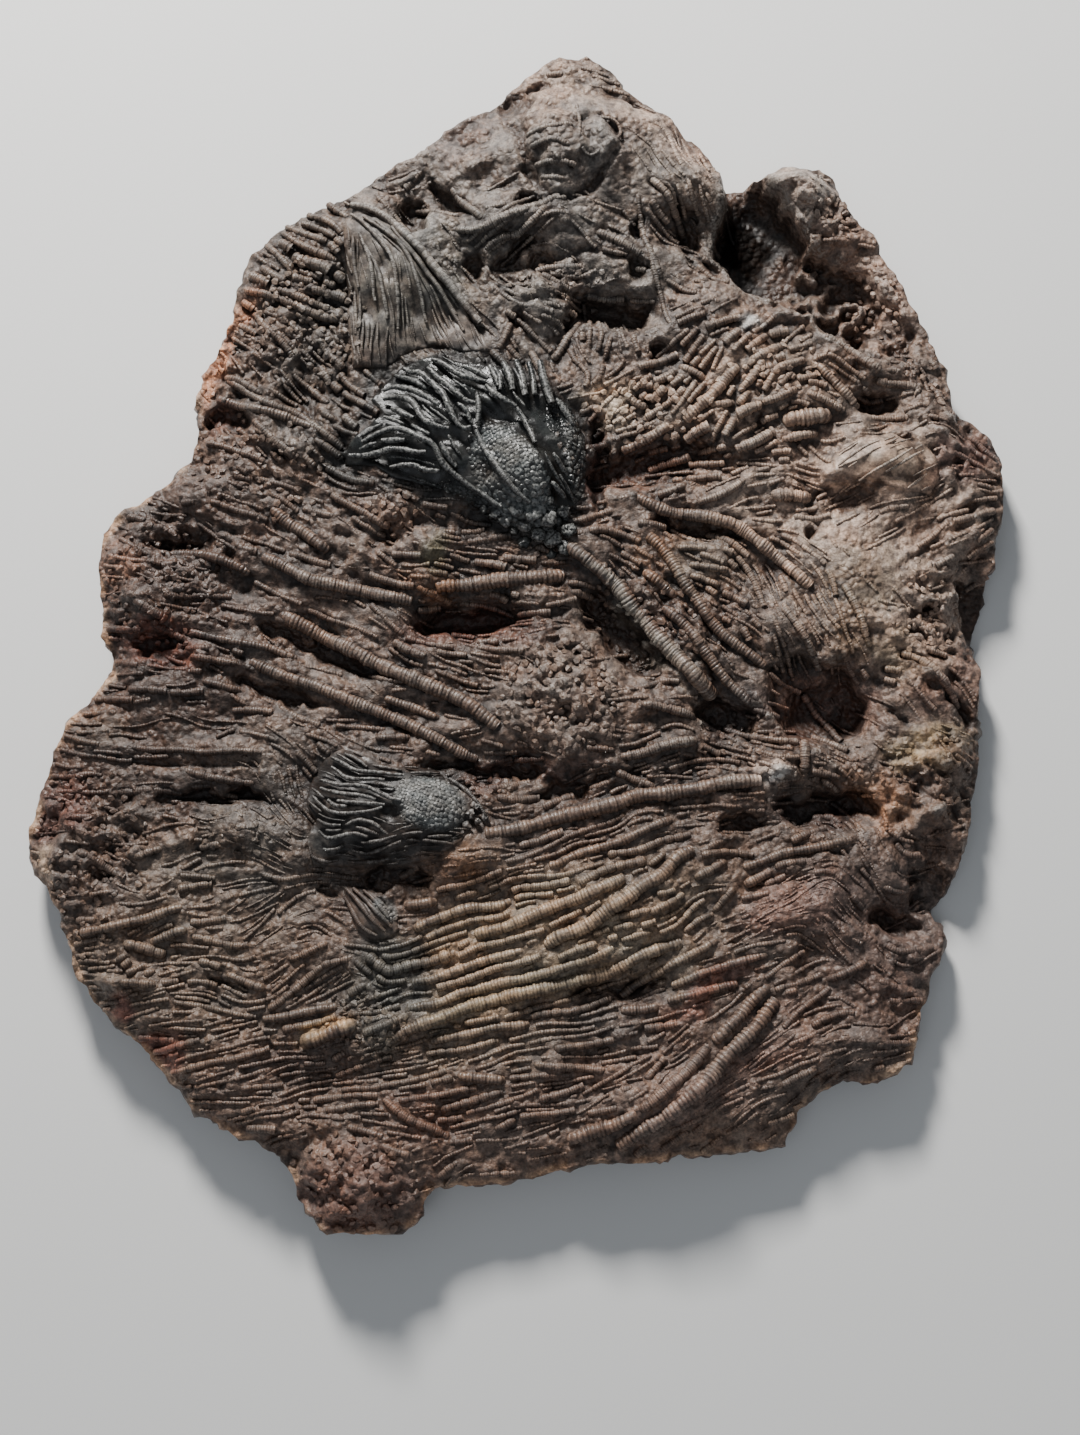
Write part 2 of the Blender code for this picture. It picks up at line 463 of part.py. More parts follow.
def build_matrix(corners, triangles, place, centre, stone):
    """The slab: uneven bed, broken side and flat back, in one piece."""
    mesh = bmesh.new()
    top = [mesh.verts.new((p.x, p.y, ground(p.x, p.y))) for p in corners]
    for triangle in triangles:
        mesh.faces.new([top[i] for i in triangle])
    edge = [top[place[i]] for i in range(len(OUTLINE))]

    def bulge(i):
        return SIDE_BULGE * noise.noise(Vector((i * 0.83, 4.7, 0.0))) - 0.5 * SIDE_BULGE

    def inset(i):
        return -BACK_INSET + SIDE_BULGE * noise.noise(Vector((i * 0.61, 9.1, 0.0)))

    middle = rim_ring(mesh, bulge, lambda i: 0.5 * edge[i].co.z)
    back = rim_ring(mesh, inset, lambda i: 0.0)
    count = len(OUTLINE)
    for upper, lower in ((edge, middle), (middle, back)):
        for i in range(count):
            j = (i + 1) % count
            mesh.faces.new((upper[i], upper[j], lower[j], lower[i]))
    mesh.faces.new(back)
    return finish_object("matrix", mesh, centre, stone)


def bed_patch(mesh, order, corners, triangles, owners):
    """The underside of a fossil: the bed's own triangles there, lifted by the gap.

    order is the place of the fossil's footprint among the polygons. Gives each corner's point.
    """
    lifted = {}
    for triangle, owner in zip(triangles, owners):
        if order not in owner:
            continue
        for i in triangle:
            if i not in lifted:
                x, y = corners[i]
                lifted[i] = mesh.verts.new((x, y, ground(x, y) + FOSSIL_GAP))
        mesh.faces.new([lifted[i] for i in triangle])
    return lifted


def build_stem(name, patch, centre, stone):
    """A stem as a round rod, sunk in the bed and cut off at both ends."""
    diameter, path = STEMS[name]
    mesh = bmesh.new()
    edge = patch(mesh)
    count = len(path)
    tall = diameter * (1.0 - BURIED)
    rows = []
    for i, (x, y) in enumerate(path):
        left, right = edge[i], edge[2 * count - 1 - i]
        base = 0.5 * (left.co.z + right.co.z)
        points = [left]
        for across, up in STEM_SECTION:
            side_x = x + (left.co.x - x) * across
            side_y = y + (left.co.y - y) * across
            lean = 0.5 * (left.co.z - right.co.z) * across
            points.append(mesh.verts.new((side_x, side_y, base + lean + tall * up)))
        rows.append(points + [right])
    for this, following in zip(rows, rows[1:]):
        for k in range(len(this) - 1):
            mesh.faces.new((this[k], this[k + 1], following[k + 1], following[k]))
    mesh.faces.new(rows[0])
    mesh.faces.new(rows[-1])
    return finish_object(name, mesh, centre, stone)


def crown_relief(crown, x, y):
    """How far a crown stands above the bed."""
    *cup, cup_height = crown["cup"]
    width, arm_height = crown["arm_size"]
    rim = line_distance((x, y), crown["footprint"], closed=True)
    height = CROWN_RIM + crown["dome"] * blend(0.0, CUP_SHOULDER, rim)
    height += cup_height * (1.0 - blend(0.2, 1.0, ellipse_distance(x, y, *cup)))
    near = min(line_distance((x, y), arm) for arm in crown["arms"]) / (0.5 * width)
    return height + arm_height * math.sqrt(max(0.0, 1.0 - min(near, 1.0) ** 2))


def crown_points(crown):
    """Points on a crown: three lines along each arm, then an even spread over the rest."""
    width, _ = crown["arm_size"]
    footprint = crown["footprint"]
    points = [p for arm in crown["arms"] for p in lines_along(arm, ARM_STEP, ARM_SIDE * width)]
    points += spread_points(footprint, CUP_STEP)

    def is_clear(p):
        return is_inside(p, footprint) and line_distance(p, footprint, closed=True) > CROWN_MARGIN

    return thin_out(points, is_clear, ARM_SPACING * width)


def build_crown(name, patch, centre, stone):
    """A crown: its arms and cup stand out of one crust that lies on the bed."""
    crown = CROWNS[name]
    mesh = bmesh.new()
    edge = patch(mesh)
    underside = BVHTree.FromBMesh(mesh)
    corners, triangles, _, place = triangulate([crown["footprint"]], crown_points(crown))
    rim = {place[i]: i for i in range(len(crown["footprint"]))}
    top = []
    for i, (x, y) in enumerate(corners):
        if i in rim:
            base = edge[rim[i]].co.z
            top.append(mesh.verts.new((x, y, base + CROWN_RIM)))
            continue
        hit = underside.ray_cast(Vector((x, y, 200.0)), Vector((0.0, 0.0, -1.0)))[0]
        top.append(mesh.verts.new((x, y, hit.z + crown_relief(crown, x, y))))
    for triangle in triangles:
        mesh.faces.new([top[i] for i in triangle])
    count = len(edge)
    for i in range(count):
        j = (i + 1) % count
        mesh.faces.new((edge[i], edge[j], top[place[j]], top[place[i]]))
    return finish_object(name, mesh, centre, stone)


for old in list(bpy.data.objects):
    bpy.data.objects.remove(old)

MARKS = footprints()
BED_CORNERS, BED_TRIANGLES, BED_OWNERS, BED_PLACE = bed_surface(MARKS)
CENTRE = (
    0.5 * (min(p[0] for p in OUTLINE) + max(p[0] for p in OUTLINE)),
    0.5 * (min(p[1] for p in OUTLINE) + max(p[1] for p in OUTLINE)),
)
STONES = {
    "matrix": material("brown_limestone", (0.150, 0.112, 0.092), 0.85),
    "stem": material("stem_calcite", (0.235, 0.200, 0.170), 0.70),
    "crown": material("crown_calcite", (0.090, 0.092, 0.090), 0.55),
}

build_matrix(BED_CORNERS, BED_TRIANGLES, BED_PLACE, CENTRE, STONES["matrix"])
first = len(OUTLINE)
for order, (fossil, mark) in enumerate(MARKS.items(), start=1):
    own_corners = [BED_PLACE[first + k] for k in range(len(mark))]
    first += len(mark)

    def patch(mesh, order=order, own_corners=own_corners):
        lifted = bed_patch(mesh, order, BED_CORNERS, BED_TRIANGLES, BED_OWNERS)
        return [lifted[i] for i in own_corners]

    if fossil in STEMS:
        build_stem(fossil, patch, CENTRE, STONES["stem"])
    else:
        build_crown(fossil, patch, CENTRE, STONES["crown"])
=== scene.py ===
import math

import bmesh
import bpy
import numpy as np
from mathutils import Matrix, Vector
from mathutils.bvhtree import BVHTree
from mathutils.geometry import delaunay_2d_cdt


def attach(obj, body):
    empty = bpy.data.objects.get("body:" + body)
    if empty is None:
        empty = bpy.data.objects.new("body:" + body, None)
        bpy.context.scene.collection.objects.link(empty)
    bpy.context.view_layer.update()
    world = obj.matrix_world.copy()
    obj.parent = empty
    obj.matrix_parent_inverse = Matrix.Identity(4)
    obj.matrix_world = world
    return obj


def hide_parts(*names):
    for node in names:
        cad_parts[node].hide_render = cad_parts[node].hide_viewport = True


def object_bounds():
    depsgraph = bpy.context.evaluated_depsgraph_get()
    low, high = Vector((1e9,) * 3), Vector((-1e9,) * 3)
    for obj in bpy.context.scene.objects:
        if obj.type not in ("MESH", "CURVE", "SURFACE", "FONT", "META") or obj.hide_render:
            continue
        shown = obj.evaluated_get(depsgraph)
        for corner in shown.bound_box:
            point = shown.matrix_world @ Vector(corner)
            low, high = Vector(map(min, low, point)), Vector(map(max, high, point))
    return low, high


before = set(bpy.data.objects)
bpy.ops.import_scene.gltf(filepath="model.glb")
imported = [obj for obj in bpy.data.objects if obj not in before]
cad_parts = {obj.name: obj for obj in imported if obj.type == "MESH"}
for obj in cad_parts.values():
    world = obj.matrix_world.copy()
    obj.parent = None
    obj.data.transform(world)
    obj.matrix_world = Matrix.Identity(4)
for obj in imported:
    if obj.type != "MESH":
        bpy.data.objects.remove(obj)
cad_low, cad_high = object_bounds()

# The bed: one slab of brown-grey limestone, split along its bedding, that the skeletons lie on.
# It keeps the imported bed's swells and hollows. Places are in mm from the slab's own marks, and
# MIDDLE is the mark that the part's origin stands under.
MM = 0.001
MIDDLE = np.array((2.5, 11.0))
CELL = 1.0                                # mm, the spacing of the height grid
LEFT, FOOT, COLUMNS, ROWS = -226, -266, 456, 554
column_x = LEFT + CELL * np.arange(COLUMNS)
row_y = FOOT + CELL * np.arange(ROWS)
grid_x, grid_y = np.meshgrid(column_x, row_y)


def at(field, x, y):
    """The value of a height grid at any places, in mm."""
    u = np.clip((np.asarray(x, float) - LEFT) / CELL, 0, COLUMNS - 1.001)
    v = np.clip((np.asarray(y, float) - FOOT) / CELL, 0, ROWS - 1.001)
    i, j = u.astype(int), v.astype(int)
    u, v = u - i, v - j
    low = field[j, i] * (1 - u) + field[j, i + 1] * u
    high = field[j + 1, i] * (1 - u) + field[j + 1, i + 1] * u
    return low * (1 - v) + high * v


def blur(field, size):
    """The field averaged over about size mm each way, by passes of a moving mean."""
    passes, spread = 3, 1.7               # the passes together reach this many times as far as one
    reach = max(1, int(round(size / CELL / spread)))
    for _ in range(passes):
        for axis in (0, 1):
            field = np.moveaxis(field, axis, 0)
            padded = np.concatenate([field[:1].repeat(reach + 1, 0), field, field[-1:].repeat(reach, 0)])
            total = np.cumsum(padded, 0)
            field = (total[2 * reach + 1:] - total[:-2 * reach - 1]) / (2 * reach + 1)
            field = np.moveaxis(field, 0, axis)
    return field


TABLE = 64                                # humps or cobbles before a random table repeats


def waves(x, y, size, seed):
    """Smooth unevenness from -1 to 1, with humps about size mm wide."""
    table = np.random.default_rng(seed).uniform(-1, 1, (TABLE, TABLE))
    off_x, off_y = 311.7, 173.3           # keeps every place on the slab clear of 0
    u, v = x / size + off_x, y / size + off_y
    i, j = np.floor(u).astype(int), np.floor(v).astype(int)
    u, v = u - i, v - j
    u, v = u * u * (3 - 2 * u), v * v * (3 - 2 * v)
    a, b, c, d = i % TABLE, (i + 1) % TABLE, j % TABLE, (j + 1) % TABLE
    low = table[c, a] * (1 - u) + table[c, b] * u
    return low * (1 - v) + (table[d, a] * (1 - u) + table[d, b] * u) * v


def rough(x, y, size, octaves, seed):
    """Unevenness at several sizes, each half the last and a little over half as high."""
    fade = 0.55
    return sum(waves(x, y, size / 2 ** k, seed + k) * fade ** k for k in range(octaves))


def cobbles(x, y, size, seed):
    """Round-topped cobbles about size mm wide: 1 on top of each and 0 in the joints."""
    jitter = np.random.default_rng(seed).uniform(0.1, 0.9, (2, TABLE, TABLE))
    off_x, off_y, half = 97.0, 151.0, 0.75
    u, v = x / size + off_x, y / size + off_y
    i, j = np.floor(u).astype(int), np.floor(v).astype(int)
    near = np.full(np.shape(u), 9.0)
    for di in (-1, 0, 1):
        for dj in (-1, 0, 1):
            a, b = (i + di) % TABLE, (j + dj) % TABLE
            dx, dy = i + di + jitter[0, b, a] - u, j + dj + jitter[1, b, a] - v
            near = np.minimum(near, np.hypot(dx, dy))
    return np.sqrt(np.clip(1 - (near / half) ** 2, 0, 1))


def ellipse(x, y, centre_x, centre_y, half_length, half_width, turn, inner=0.3, outer=1.1):
    """1 inside a turned ellipse, falling to 0 across its margin."""
    c, s = math.cos(math.radians(turn)), math.sin(math.radians(turn))
    dx, dy = x - centre_x, y - centre_y
    out = np.hypot((dx * c + dy * s) / half_length, (dy * c - dx * s) / half_width)
    t = np.clip((outer - out) / (outer - inner), 0, 1)
    return t * t * (3 - 2 * t)


def packed_tree(name):
    """A ray-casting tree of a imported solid, from a merged copy of its mesh, in mm."""
    copy = bmesh.new()
    copy.from_mesh(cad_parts[name].data)
    bmesh.ops.scale(copy, vec=(1 / MM,) * 3, verts=copy.verts)
    bmesh.ops.remove_doubles(copy, verts=copy.verts, dist=0.001)
    tree = BVHTree.FromBMesh(copy)
    copy.free()
    return tree


def packed_height(tree, x, y):
    """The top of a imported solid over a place, or nan beside it."""
    above = Vector((x - MIDDLE[0], y - MIDDLE[1], 90.0))
    hit = tree.ray_cast(above, Vector((0, 0, -1)))[0]
    return hit.z if hit else math.nan


# the slab's outline in plan, clockwise
OUTLINE = [
    (20, 283), (33, 284), (44, 277), (52, 268), (60, 262), (72, 254), (80, 243), (90, 234), (100, 223),
    (110, 222), (128, 230), (143, 230), (151, 224), (153, 216), (161, 205), (170, 193), (178, 176),
    (184, 164), (192, 153), (199, 133), (204, 113), (214, 106), (222, 100), (226, 92), (225, 72), (223, 52),
    (220, 36), (211, 5), (213, -10), (212, -38), (208, -65), (204, -92), (197, -106), (189, -118),
    (194, -130), (188, -148), (183, -162), (180, -176), (177, -187), (158, -196), (147, -195), (135, -200),
    (126, -209), (121, -224), (94, -226), (70, -229), (49, -231), (34, -231), (18, -233), (0, -240),
    (-20, -240), (-37, -242), (-41, -253), (-50, -261), (-66, -262), (-83, -262), (-93, -250), (-98, -237),
    (-104, -227), (-128, -217), (-143, -207), (-155, -193), (-164, -183), (-174, -174), (-186, -165),
    (-196, -148), (-203, -126), (-208, -116), (-213, -107), (-221, -91), (-217, -76), (-211, -53),
    (-206, -38), (-194, -22), (-184, -12), (-186, -3), (-190, 13), (-191, 36), (-189, 54), (-180, 65),
    (-169, 71), (-159, 80), (-151, 88), (-147, 102), (-149, 118), (-145, 131), (-138, 143), (-131, 153),
    (-130, 168), (-123, 186), (-112, 196), (-101, 204), (-88, 211), (-76, 216), (-68, 223), (-56, 231),
    (-43, 236), (-34, 246), (-19, 254), (-6, 264), (8, 276),
]
matrix_tree = packed_tree("matrix")
outline_x, outline_y = np.array(OUTLINE, float).T


def inside(x, y, ring):
    """True where a place lies inside a closed ring."""
    x, y = np.asarray(x, float), np.asarray(y, float)
    found = np.zeros(np.broadcast(x, y).shape, bool)
    for (x1, y1), (x2, y2) in zip(ring, np.roll(ring, -1, 0)):
        if y1 != y2:
            found ^= ((y1 > y) != (y2 > y)) & (x < (x2 - x1) * (y - y1) / (y2 - y1) + x1)
    return found


def block(ring, margin):
    """The rows and columns of the height grid round a ring."""
    low, high = np.min(ring, 0) - margin, np.max(ring, 0) + margin
    return slice(int(low[1] - FOOT), int(high[1] - FOOT)), slice(int(low[0] - LEFT), int(high[0] - LEFT))


def off_line(x, y, line):
    """How far places lie from an open line, in mm."""
    x, y = np.asarray(x, float), np.asarray(y, float)
    near = np.full(np.broadcast(x, y).shape, 999.0)
    for (x1, y1), (x2, y2) in zip(line, line[1:]):
        dx, dy = x2 - x1, y2 - y1
        t = np.clip(((x - x1) * dx + (y - y1) * dy) / (dx * dx + dy * dy), 0, 1)
        near = np.minimum(near, np.hypot(x - x1 - t * dx, y - y1 - t * dy))
    return near


def off_ring(x, y, ring):
    """How far places lie from a closed ring, in mm."""
    return off_line(x, y, [*ring, ring[0]])


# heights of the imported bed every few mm, carried on past the rim, then smoothed on the fine grid
APART, PAST_RIM = 3, 40
coarse = np.array([[packed_height(matrix_tree, x, y) for x in column_x[::APART]] for y in row_y[::APART]])
for _ in range(PAST_RIM):
    gap = np.isnan(coarse)
    if not gap.any():
        break
    around = np.stack([np.roll(coarse, s, a) for s in (-1, 1) for a in (0, 1)])
    known = ~np.isnan(around)
    mean = np.where(known, around, 0).sum(0) / np.maximum(known.sum(0), 1)
    coarse = np.where(gap & known.any(0), mean, coarse)
coarse = np.nan_to_num(coarse, nan=20.0)
u, v = (grid_x - LEFT) / APART, (grid_y - FOOT) / APART
i = np.minimum(u.astype(int), coarse.shape[1] - 2)
j = np.minimum(v.astype(int), coarse.shape[0] - 2)
u, v = np.minimum(u - i, 1), np.minimum(v - j, 1)
base = blur((coarse[j, i] * (1 - u) + coarse[j, i + 1] * u) * (1 - v)
            + (coarse[j + 1, i] * (1 - u) + coarse[j + 1, i + 1] * u) * v, 3.0)
on_slab = inside(grid_x, grid_y, OUTLINE)
rim_off = off_ring(grid_x, grid_y, OUTLINE)

# how the skeletons lie: place, reach in mm, and the way that they run there, in degrees
GRAIN = [
    (20, 250, 20, 60), (38, 238, 14, 80), (75, 225, 18, -62), (92, 212, 10, -70), (60, 245, 12, -35),
    (10, 265, 15, 20), (35, 272, 15, -30), (-20, 235, 20, 35), (-45, 225, 15, 30), (0, 200, 18, 16),
    (25, 192, 14, -40), (45, 190, 12, -15), (62, 190, 9, -72), (40, 175, 18, 5), (75, 180, 15, -25),
    (-15, 175, 14, -48), (-8, 158, 14, -42), (12, 165, 12, 5), (38, 150, 14, -76), (-3, 142, 9, -62),
    (-56, 188, 22, -52), (-60, 160, 18, -58), (-97, 196, 22, -33), (-114, 182, 14, -43),
    (-100, 163, 18, -22), (-105, 145, 18, -40), (-92, 130, 18, -46), (-100, 110, 20, -32),
    (-112, 92, 18, -34), (-86, 86, 14, -30), (-136, 130, 14, -60), (-150, 70, 20, -10), (-120, 60, 22, -14),
    (-85, 60, 20, -22), (-170, 50, 14, -12), (-150, 28, 26, -20), (-112, 20, 22, -16), (-70, 15, 22, -22),
    (-62, -10, 20, -22), (-25, 25, 16, 2), (0, 18, 14, -4), (-20, 3, 16, -8), (20, -20, 24, 0),
    (-152, -20, 26, -8), (-112, -15, 22, -17), (-150, -46, 26, 0), (-186, -30, 18, -10),
    (-95, -38, 16, -30), (-192, -60, 18, -8), (-152, -64, 22, -8), (-106, -60, 12, -65),
    (-99, -72, 10, -58), (-90, -76, 9, -48), (-90, -91, 10, -8), (-104, -98, 12, -20), (-95, -106, 9, 22),
    (-112, -118, 14, 35), (-96, -126, 12, 15), (-84, -132, 10, -42), (-100, -152, 16, 33),
    (-76, -158, 14, 24), (-64, -146, 9, -48), (-192, -90, 18, -8), (-162, -91, 16, 14),
    (-186, -106, 18, -10), (-180, -126, 18, 12), (-160, -133, 12, 20), (-186, -150, 18, 0),
    (-155, -150, 18, 6), (-130, -152, 13, -26), (-150, -172, 22, 8), (-120, -182, 22, 12),
    (-90, -186, 22, 10), (-60, -202, 18, 2), (-102, -206, 18, 4), (-66, -172, 14, 6), (-32, -130, 22, 16),
    (0, -125, 22, 15), (32, -118, 22, 27), (-30, -150, 18, 14), (0, -150, 22, 15), (42, -142, 18, 20),
    (70, -125, 18, 34), (-28, -174, 22, 10), (12, -168, 22, 12), (52, -165, 18, 16), (84, -150, 18, 24),
    (-24, -204, 18, 12), (12, -194, 22, 6), (42, -202, 18, 30), (78, -180, 14, 42), (102, -165, 16, 44),
    (0, -96, 22, 15), (42, -90, 22, 18), (82, -75, 22, 9), (115, -90, 18, 12), (62, -52, 18, 8),
    (92, -40, 18, -20), (122, -112, 18, 24), (137, -128, 13, -42), (110, -136, 13, 20), (132, -150, 14, 32),
    (122, -188, 18, 34), (160, -146, 16, -42), (166, -175, 14, 5), (152, -112, 12, -48),
    (160, -90, 14, -68), (168, -60, 12, -42), (186, -48, 12, -28), (192, -94, 12, 14), (180, -130, 14, 18),
    (130, 18, 14, -68), (152, 8, 14, -62), (142, 40, 12, -42), (120, 30, 10, -58), (172, 30, 14, -35),
    (188, -4, 14, -32), (202, -26, 9, -52), (184, -30, 11, -32), (204, 50, 13, 30), (155, 60, 13, 35),
    (180, 82, 18, 22), (162, 92, 14, 18), (208, 94, 12, -20), (58, 106, 16, 32), (86, 110, 18, 42),
    (106, 120, 15, 44), (126, 128, 14, 34), (142, 114, 12, -8), (120, 100, 14, 32), (132, 88, 11, -30),
    (110, 82, 12, 12), (62, 80, 18, 12), (84, 68, 14, 10), (70, 46, 13, -28), (92, 34, 14, -20),
    (58, 24, 14, -42), (90, 5, 14, -48), (156, 128, 11, -42), (176, 119, 11, 12), (192, 124, 10, -68),
    (92, 158, 13, 24), (112, 146, 11, 34), (130, 214, 14, -18), (150, 160, 14, 10),
]
turn_x = turn_y = 0
for x, y, reach, way in GRAIN:
    share = 1 / (((grid_x - x) ** 2 + (grid_y - y) ** 2) / reach ** 2 + 0.15) ** 2
    turn_x = turn_x + share * math.cos(math.radians(2 * way))
    turn_y = turn_y + share * math.sin(math.radians(2 * way))
grain = 0.5 * np.arctan2(turn_y, turn_x)
grain = grain + 0.22 * waves(grid_x, grid_y, 15.0, 5) + 0.10 * waves(grid_x, grid_y, 6.0, 6)
run_x, run_y = np.cos(grain), np.sin(grain)


def streaks(size, length, seed):
    """Unevenness about size mm across that is drawn out along the grain, from -1 to 1."""
    stride, deviations = 1.5, 2.2         # mm from place to place, and how far out 1 lies
    total = waves(grid_x, grid_y, size, seed)
    for side in (-1, 1):
        x, y, wx, wy = grid_x.astype(float), grid_y.astype(float), side * run_x, side * run_y
        for _ in range(int(length / 2 / stride)):
            x, y = x + stride * wx, y + stride * wy
            ahead_x, ahead_y = at(run_x, x, y), at(run_y, x, y)
            way = np.where(ahead_x * wx + ahead_y * wy < 0, -1, 1)
            wx, wy = ahead_x * way, ahead_y * way
            total = total + waves(x, y, size, seed)
    return total / np.std(total[on_slab]) / deviations


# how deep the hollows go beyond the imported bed's: place, half sizes, turn, extra depth, in mm
PITS = [
    (-49, 204, 8, 7, 0, 6), (-34, 214, 11, 3.5, -42, 5), (112, 196, 15, 28, -8, 15),
    (103, 216, 6, 12, -8, 13), (147, 172, 24, 14, -25, 7), (128, 166, 10, 9, 0, 6),
    (88, 180, 14, 6, -40, 4), (166, 158, 8, 10, 0, 5), (166, 145, 15, 8, 0, 6), (46, 158, 15, 7, -10, 7),
    (66, 139, 4.5, 6, 0, 7), (81, 198, 15, 5, -50, 4), (64, 86, 30, 10, 12, 3), (38, 84, 4, 22, 0, 5),
    (56, 197, 3, 6, 10, 4), (10, 268, 6, 3, 0, 3), (53, 260, 4, 2, 0, 3), (84, 54, 24, 3.5, -10, 5),
    (48, 4, 28, 9, -48, 5), (-22, 12, 28, 6, 0, 4), (96, -34, 16, 8, -20, 5), (142, -72, 26, 7, 0, 6),
    (187, -108, 10, 12, 0, 5), (213, 20, 7, 17, 5, 8), (192, 20, 4.5, 3.5, 0, 5), (208, 66, 4, 2.5, 20, 4),
    (183, 7, 7, 1.6, -5, 4), (184, -6, 8, 2, -34, 5), (202, -28, 14, 2, -50, 4), (137, 54, 4.5, 3, 0, 4),
    (-155, 48, 13, 4, 0, 5), (-163, 3, 13, 5, 0, 4), (-92, -1, 34, 3.5, -18, 3), (-106, -22, 24, 3, -18, 4),
    (-135, -69, 24, 4, -3, 5), (-54, -106, 20, 4, 0, 5), (-12, -56, 32, 3.5, 0, 4), (26, -64, 20, 4, 12, 3),
    (103, -81, 12, 5, 0, 4), (168, 116, 9, 5, -20, 5), (170, -124, 14, 6, -15, 5), (-137, 108, 7, 4, 0, 5),
    (8, 209, 10, 2.5, 8, 4), (2, 186, 9, 4, 20, 4), (58, 176, 4, 4, 0, 4), (-20, 103, 8, 4, -60, 3),
    (178, 97, 6, 1.8, -18, 3), (176, -31, 8, 1.4, -38, 3), (147, -92, 10, 1.5, 8, 2),
    (-152, -70, 12, 3, 0, 3), (46, -153, 24, 3, 14, 3), (-22, -66, 6, 2.6, 0, 3), (-85, -112, 7, 2.2, 0, 3),
    (-130, -152, 12, 2.2, -24, 3),
]
# where the bed is clean and leathery rather than grainy: place, half sizes, turn
LEATHER = [
    (35, 242, 26, 26, 20), (78, 228, 24, 18, -40), (-52, 165, 34, 24, -52), (168, 84, 30, 15, 5),
    (150, 40, 26, 30, -60), (-112, -72, 24, 20, -20), (-95, -125, 30, 22, 10), (-20, -98, 22, 9, 0),
    (95, -214, 46, 12, 12), (128, -118, 26, 17, 10), (-190, -36, 14, 12, 0), (196, -18, 14, 22, -40),
    (-20, 234, 30, 22, 35), (60, 215, 30, 20, -30), (-100, -110, 34, 34, 0), (180, 60, 30, 40, 0),
    (30, 178, 30, 12, -10), (-36, 44, 10, 9, 0), (105, -178, 30, 14, 40), (170, -152, 26, 22, -30),
]
# cobbled ground, where grains and plates have been cemented together: place, half sizes, turn, size
COBBLES = [
    (20, -24, 28, 28, 0, 4.2), (-55, 62, 13, 12, 0, 5.0), (-62, -170, 20, 16, 0, 4.4),
    (-72, -240, 36, 24, 10, 4.6), (129, 214, 30, 18, 0, 5.0), (170, 168, 16, 20, 0, 4.4),
    (185, 18, 22, 24, 0, 4.0), (160, -52, 30, 14, 0, 3.6), (-122, 84, 40, 26, -20, 4.4),
    (-160, 30, 30, 34, 0, 4.0), (-190, -84, 30, 34, 0, 4.0), (-122, -84, 18, 14, 0, 3.8),
    (200, -62, 12, 24, 0, 3.8), (20, 166, 26, 14, 0, 4.4), (-96, 152, 26, 34, 0, 4.0),
    (60, 112, 26, 14, 0, 4.4), (-100, 150, 24, 42, -10, 7.0), (-104, 104, 30, 26, -30, 6.0),
    (196, -66, 18, 28, 0, 8.0), (198, 40, 16, 30, 0, 6.0), (-150, 60, 34, 26, -10, 6.5),
    (-170, 0, 40, 26, -10, 6.0), (-190, -90, 34, 40, 0, 6.0), (200, 96, 16, 30, 0, 6.0),
    (170, -145, 30, 34, 0, 6.0), (60, -30, 40, 14, 0, 5.0), (-60, 50, 30, 20, 0, 6.0),
    (190, 128, 12, 22, 0, 4.0), (60, 20, 14, 24, 40, 4.0), (140, -84, 24, 8, 0, 3.4),
    (-196, -120, 14, 30, 20, 4.0),
]
# hollows with steep walls: the line round each, and its depth in mm
CAVES = [
    ([(97, 229), (96, 208), (93, 185), (100, 175), (119, 164), (134, 174), (138, 193), (130, 206),
      (113, 221), (103, 232)], 16),
    ([(136, 190), (154, 185), (168, 175), (180, 162), (188, 150), (184, 140), (170, 134), (153, 140),
      (141, 150), (136, 162), (144, 172)], 7),
    ([(-57, 208), (-51, 211), (-42, 203), (-41, 193), (-50, 193), (-56, 200)], 7),
    ([(-39, 219), (-35, 220), (-19, 205), (-22, 201), (-35, 212)], 4),
    ([(-6, 155), (3, 160), (6, 151), (-1, 146)], 6),
    ([(19, 151), (24, 160), (31, 167), (47, 165), (62, 162), (61, 151), (47, 150), (40, 153), (33, 151),
      (24, 144)], 9),
    ([(53, 178), (60, 181), (64, 173), (59, 168), (53, 171)], 5),
    ([(-26, 183), (-16, 186), (-15, 173), (-21, 168), (-25, 176)], 6),
    ([(114, -10), (128, -3), (151, -9), (163, -24), (158, -40), (141, -44), (123, -40), (114, -27)], 5),
    ([(-8, 262), (3, 267), (11, 262), (5, 250), (6, 236), (12, 218), (8, 213), (1, 225), (-3, 240),
      (-9, 250)], 4),
    ([(201, 37), (224, 24), (219, 9), (212, -2), (206, 9), (205, 21)], 12),
    ([(-140, 115), (-128, 111), (-119, 103), (-127, 97), (-138, 98)], 6),
]
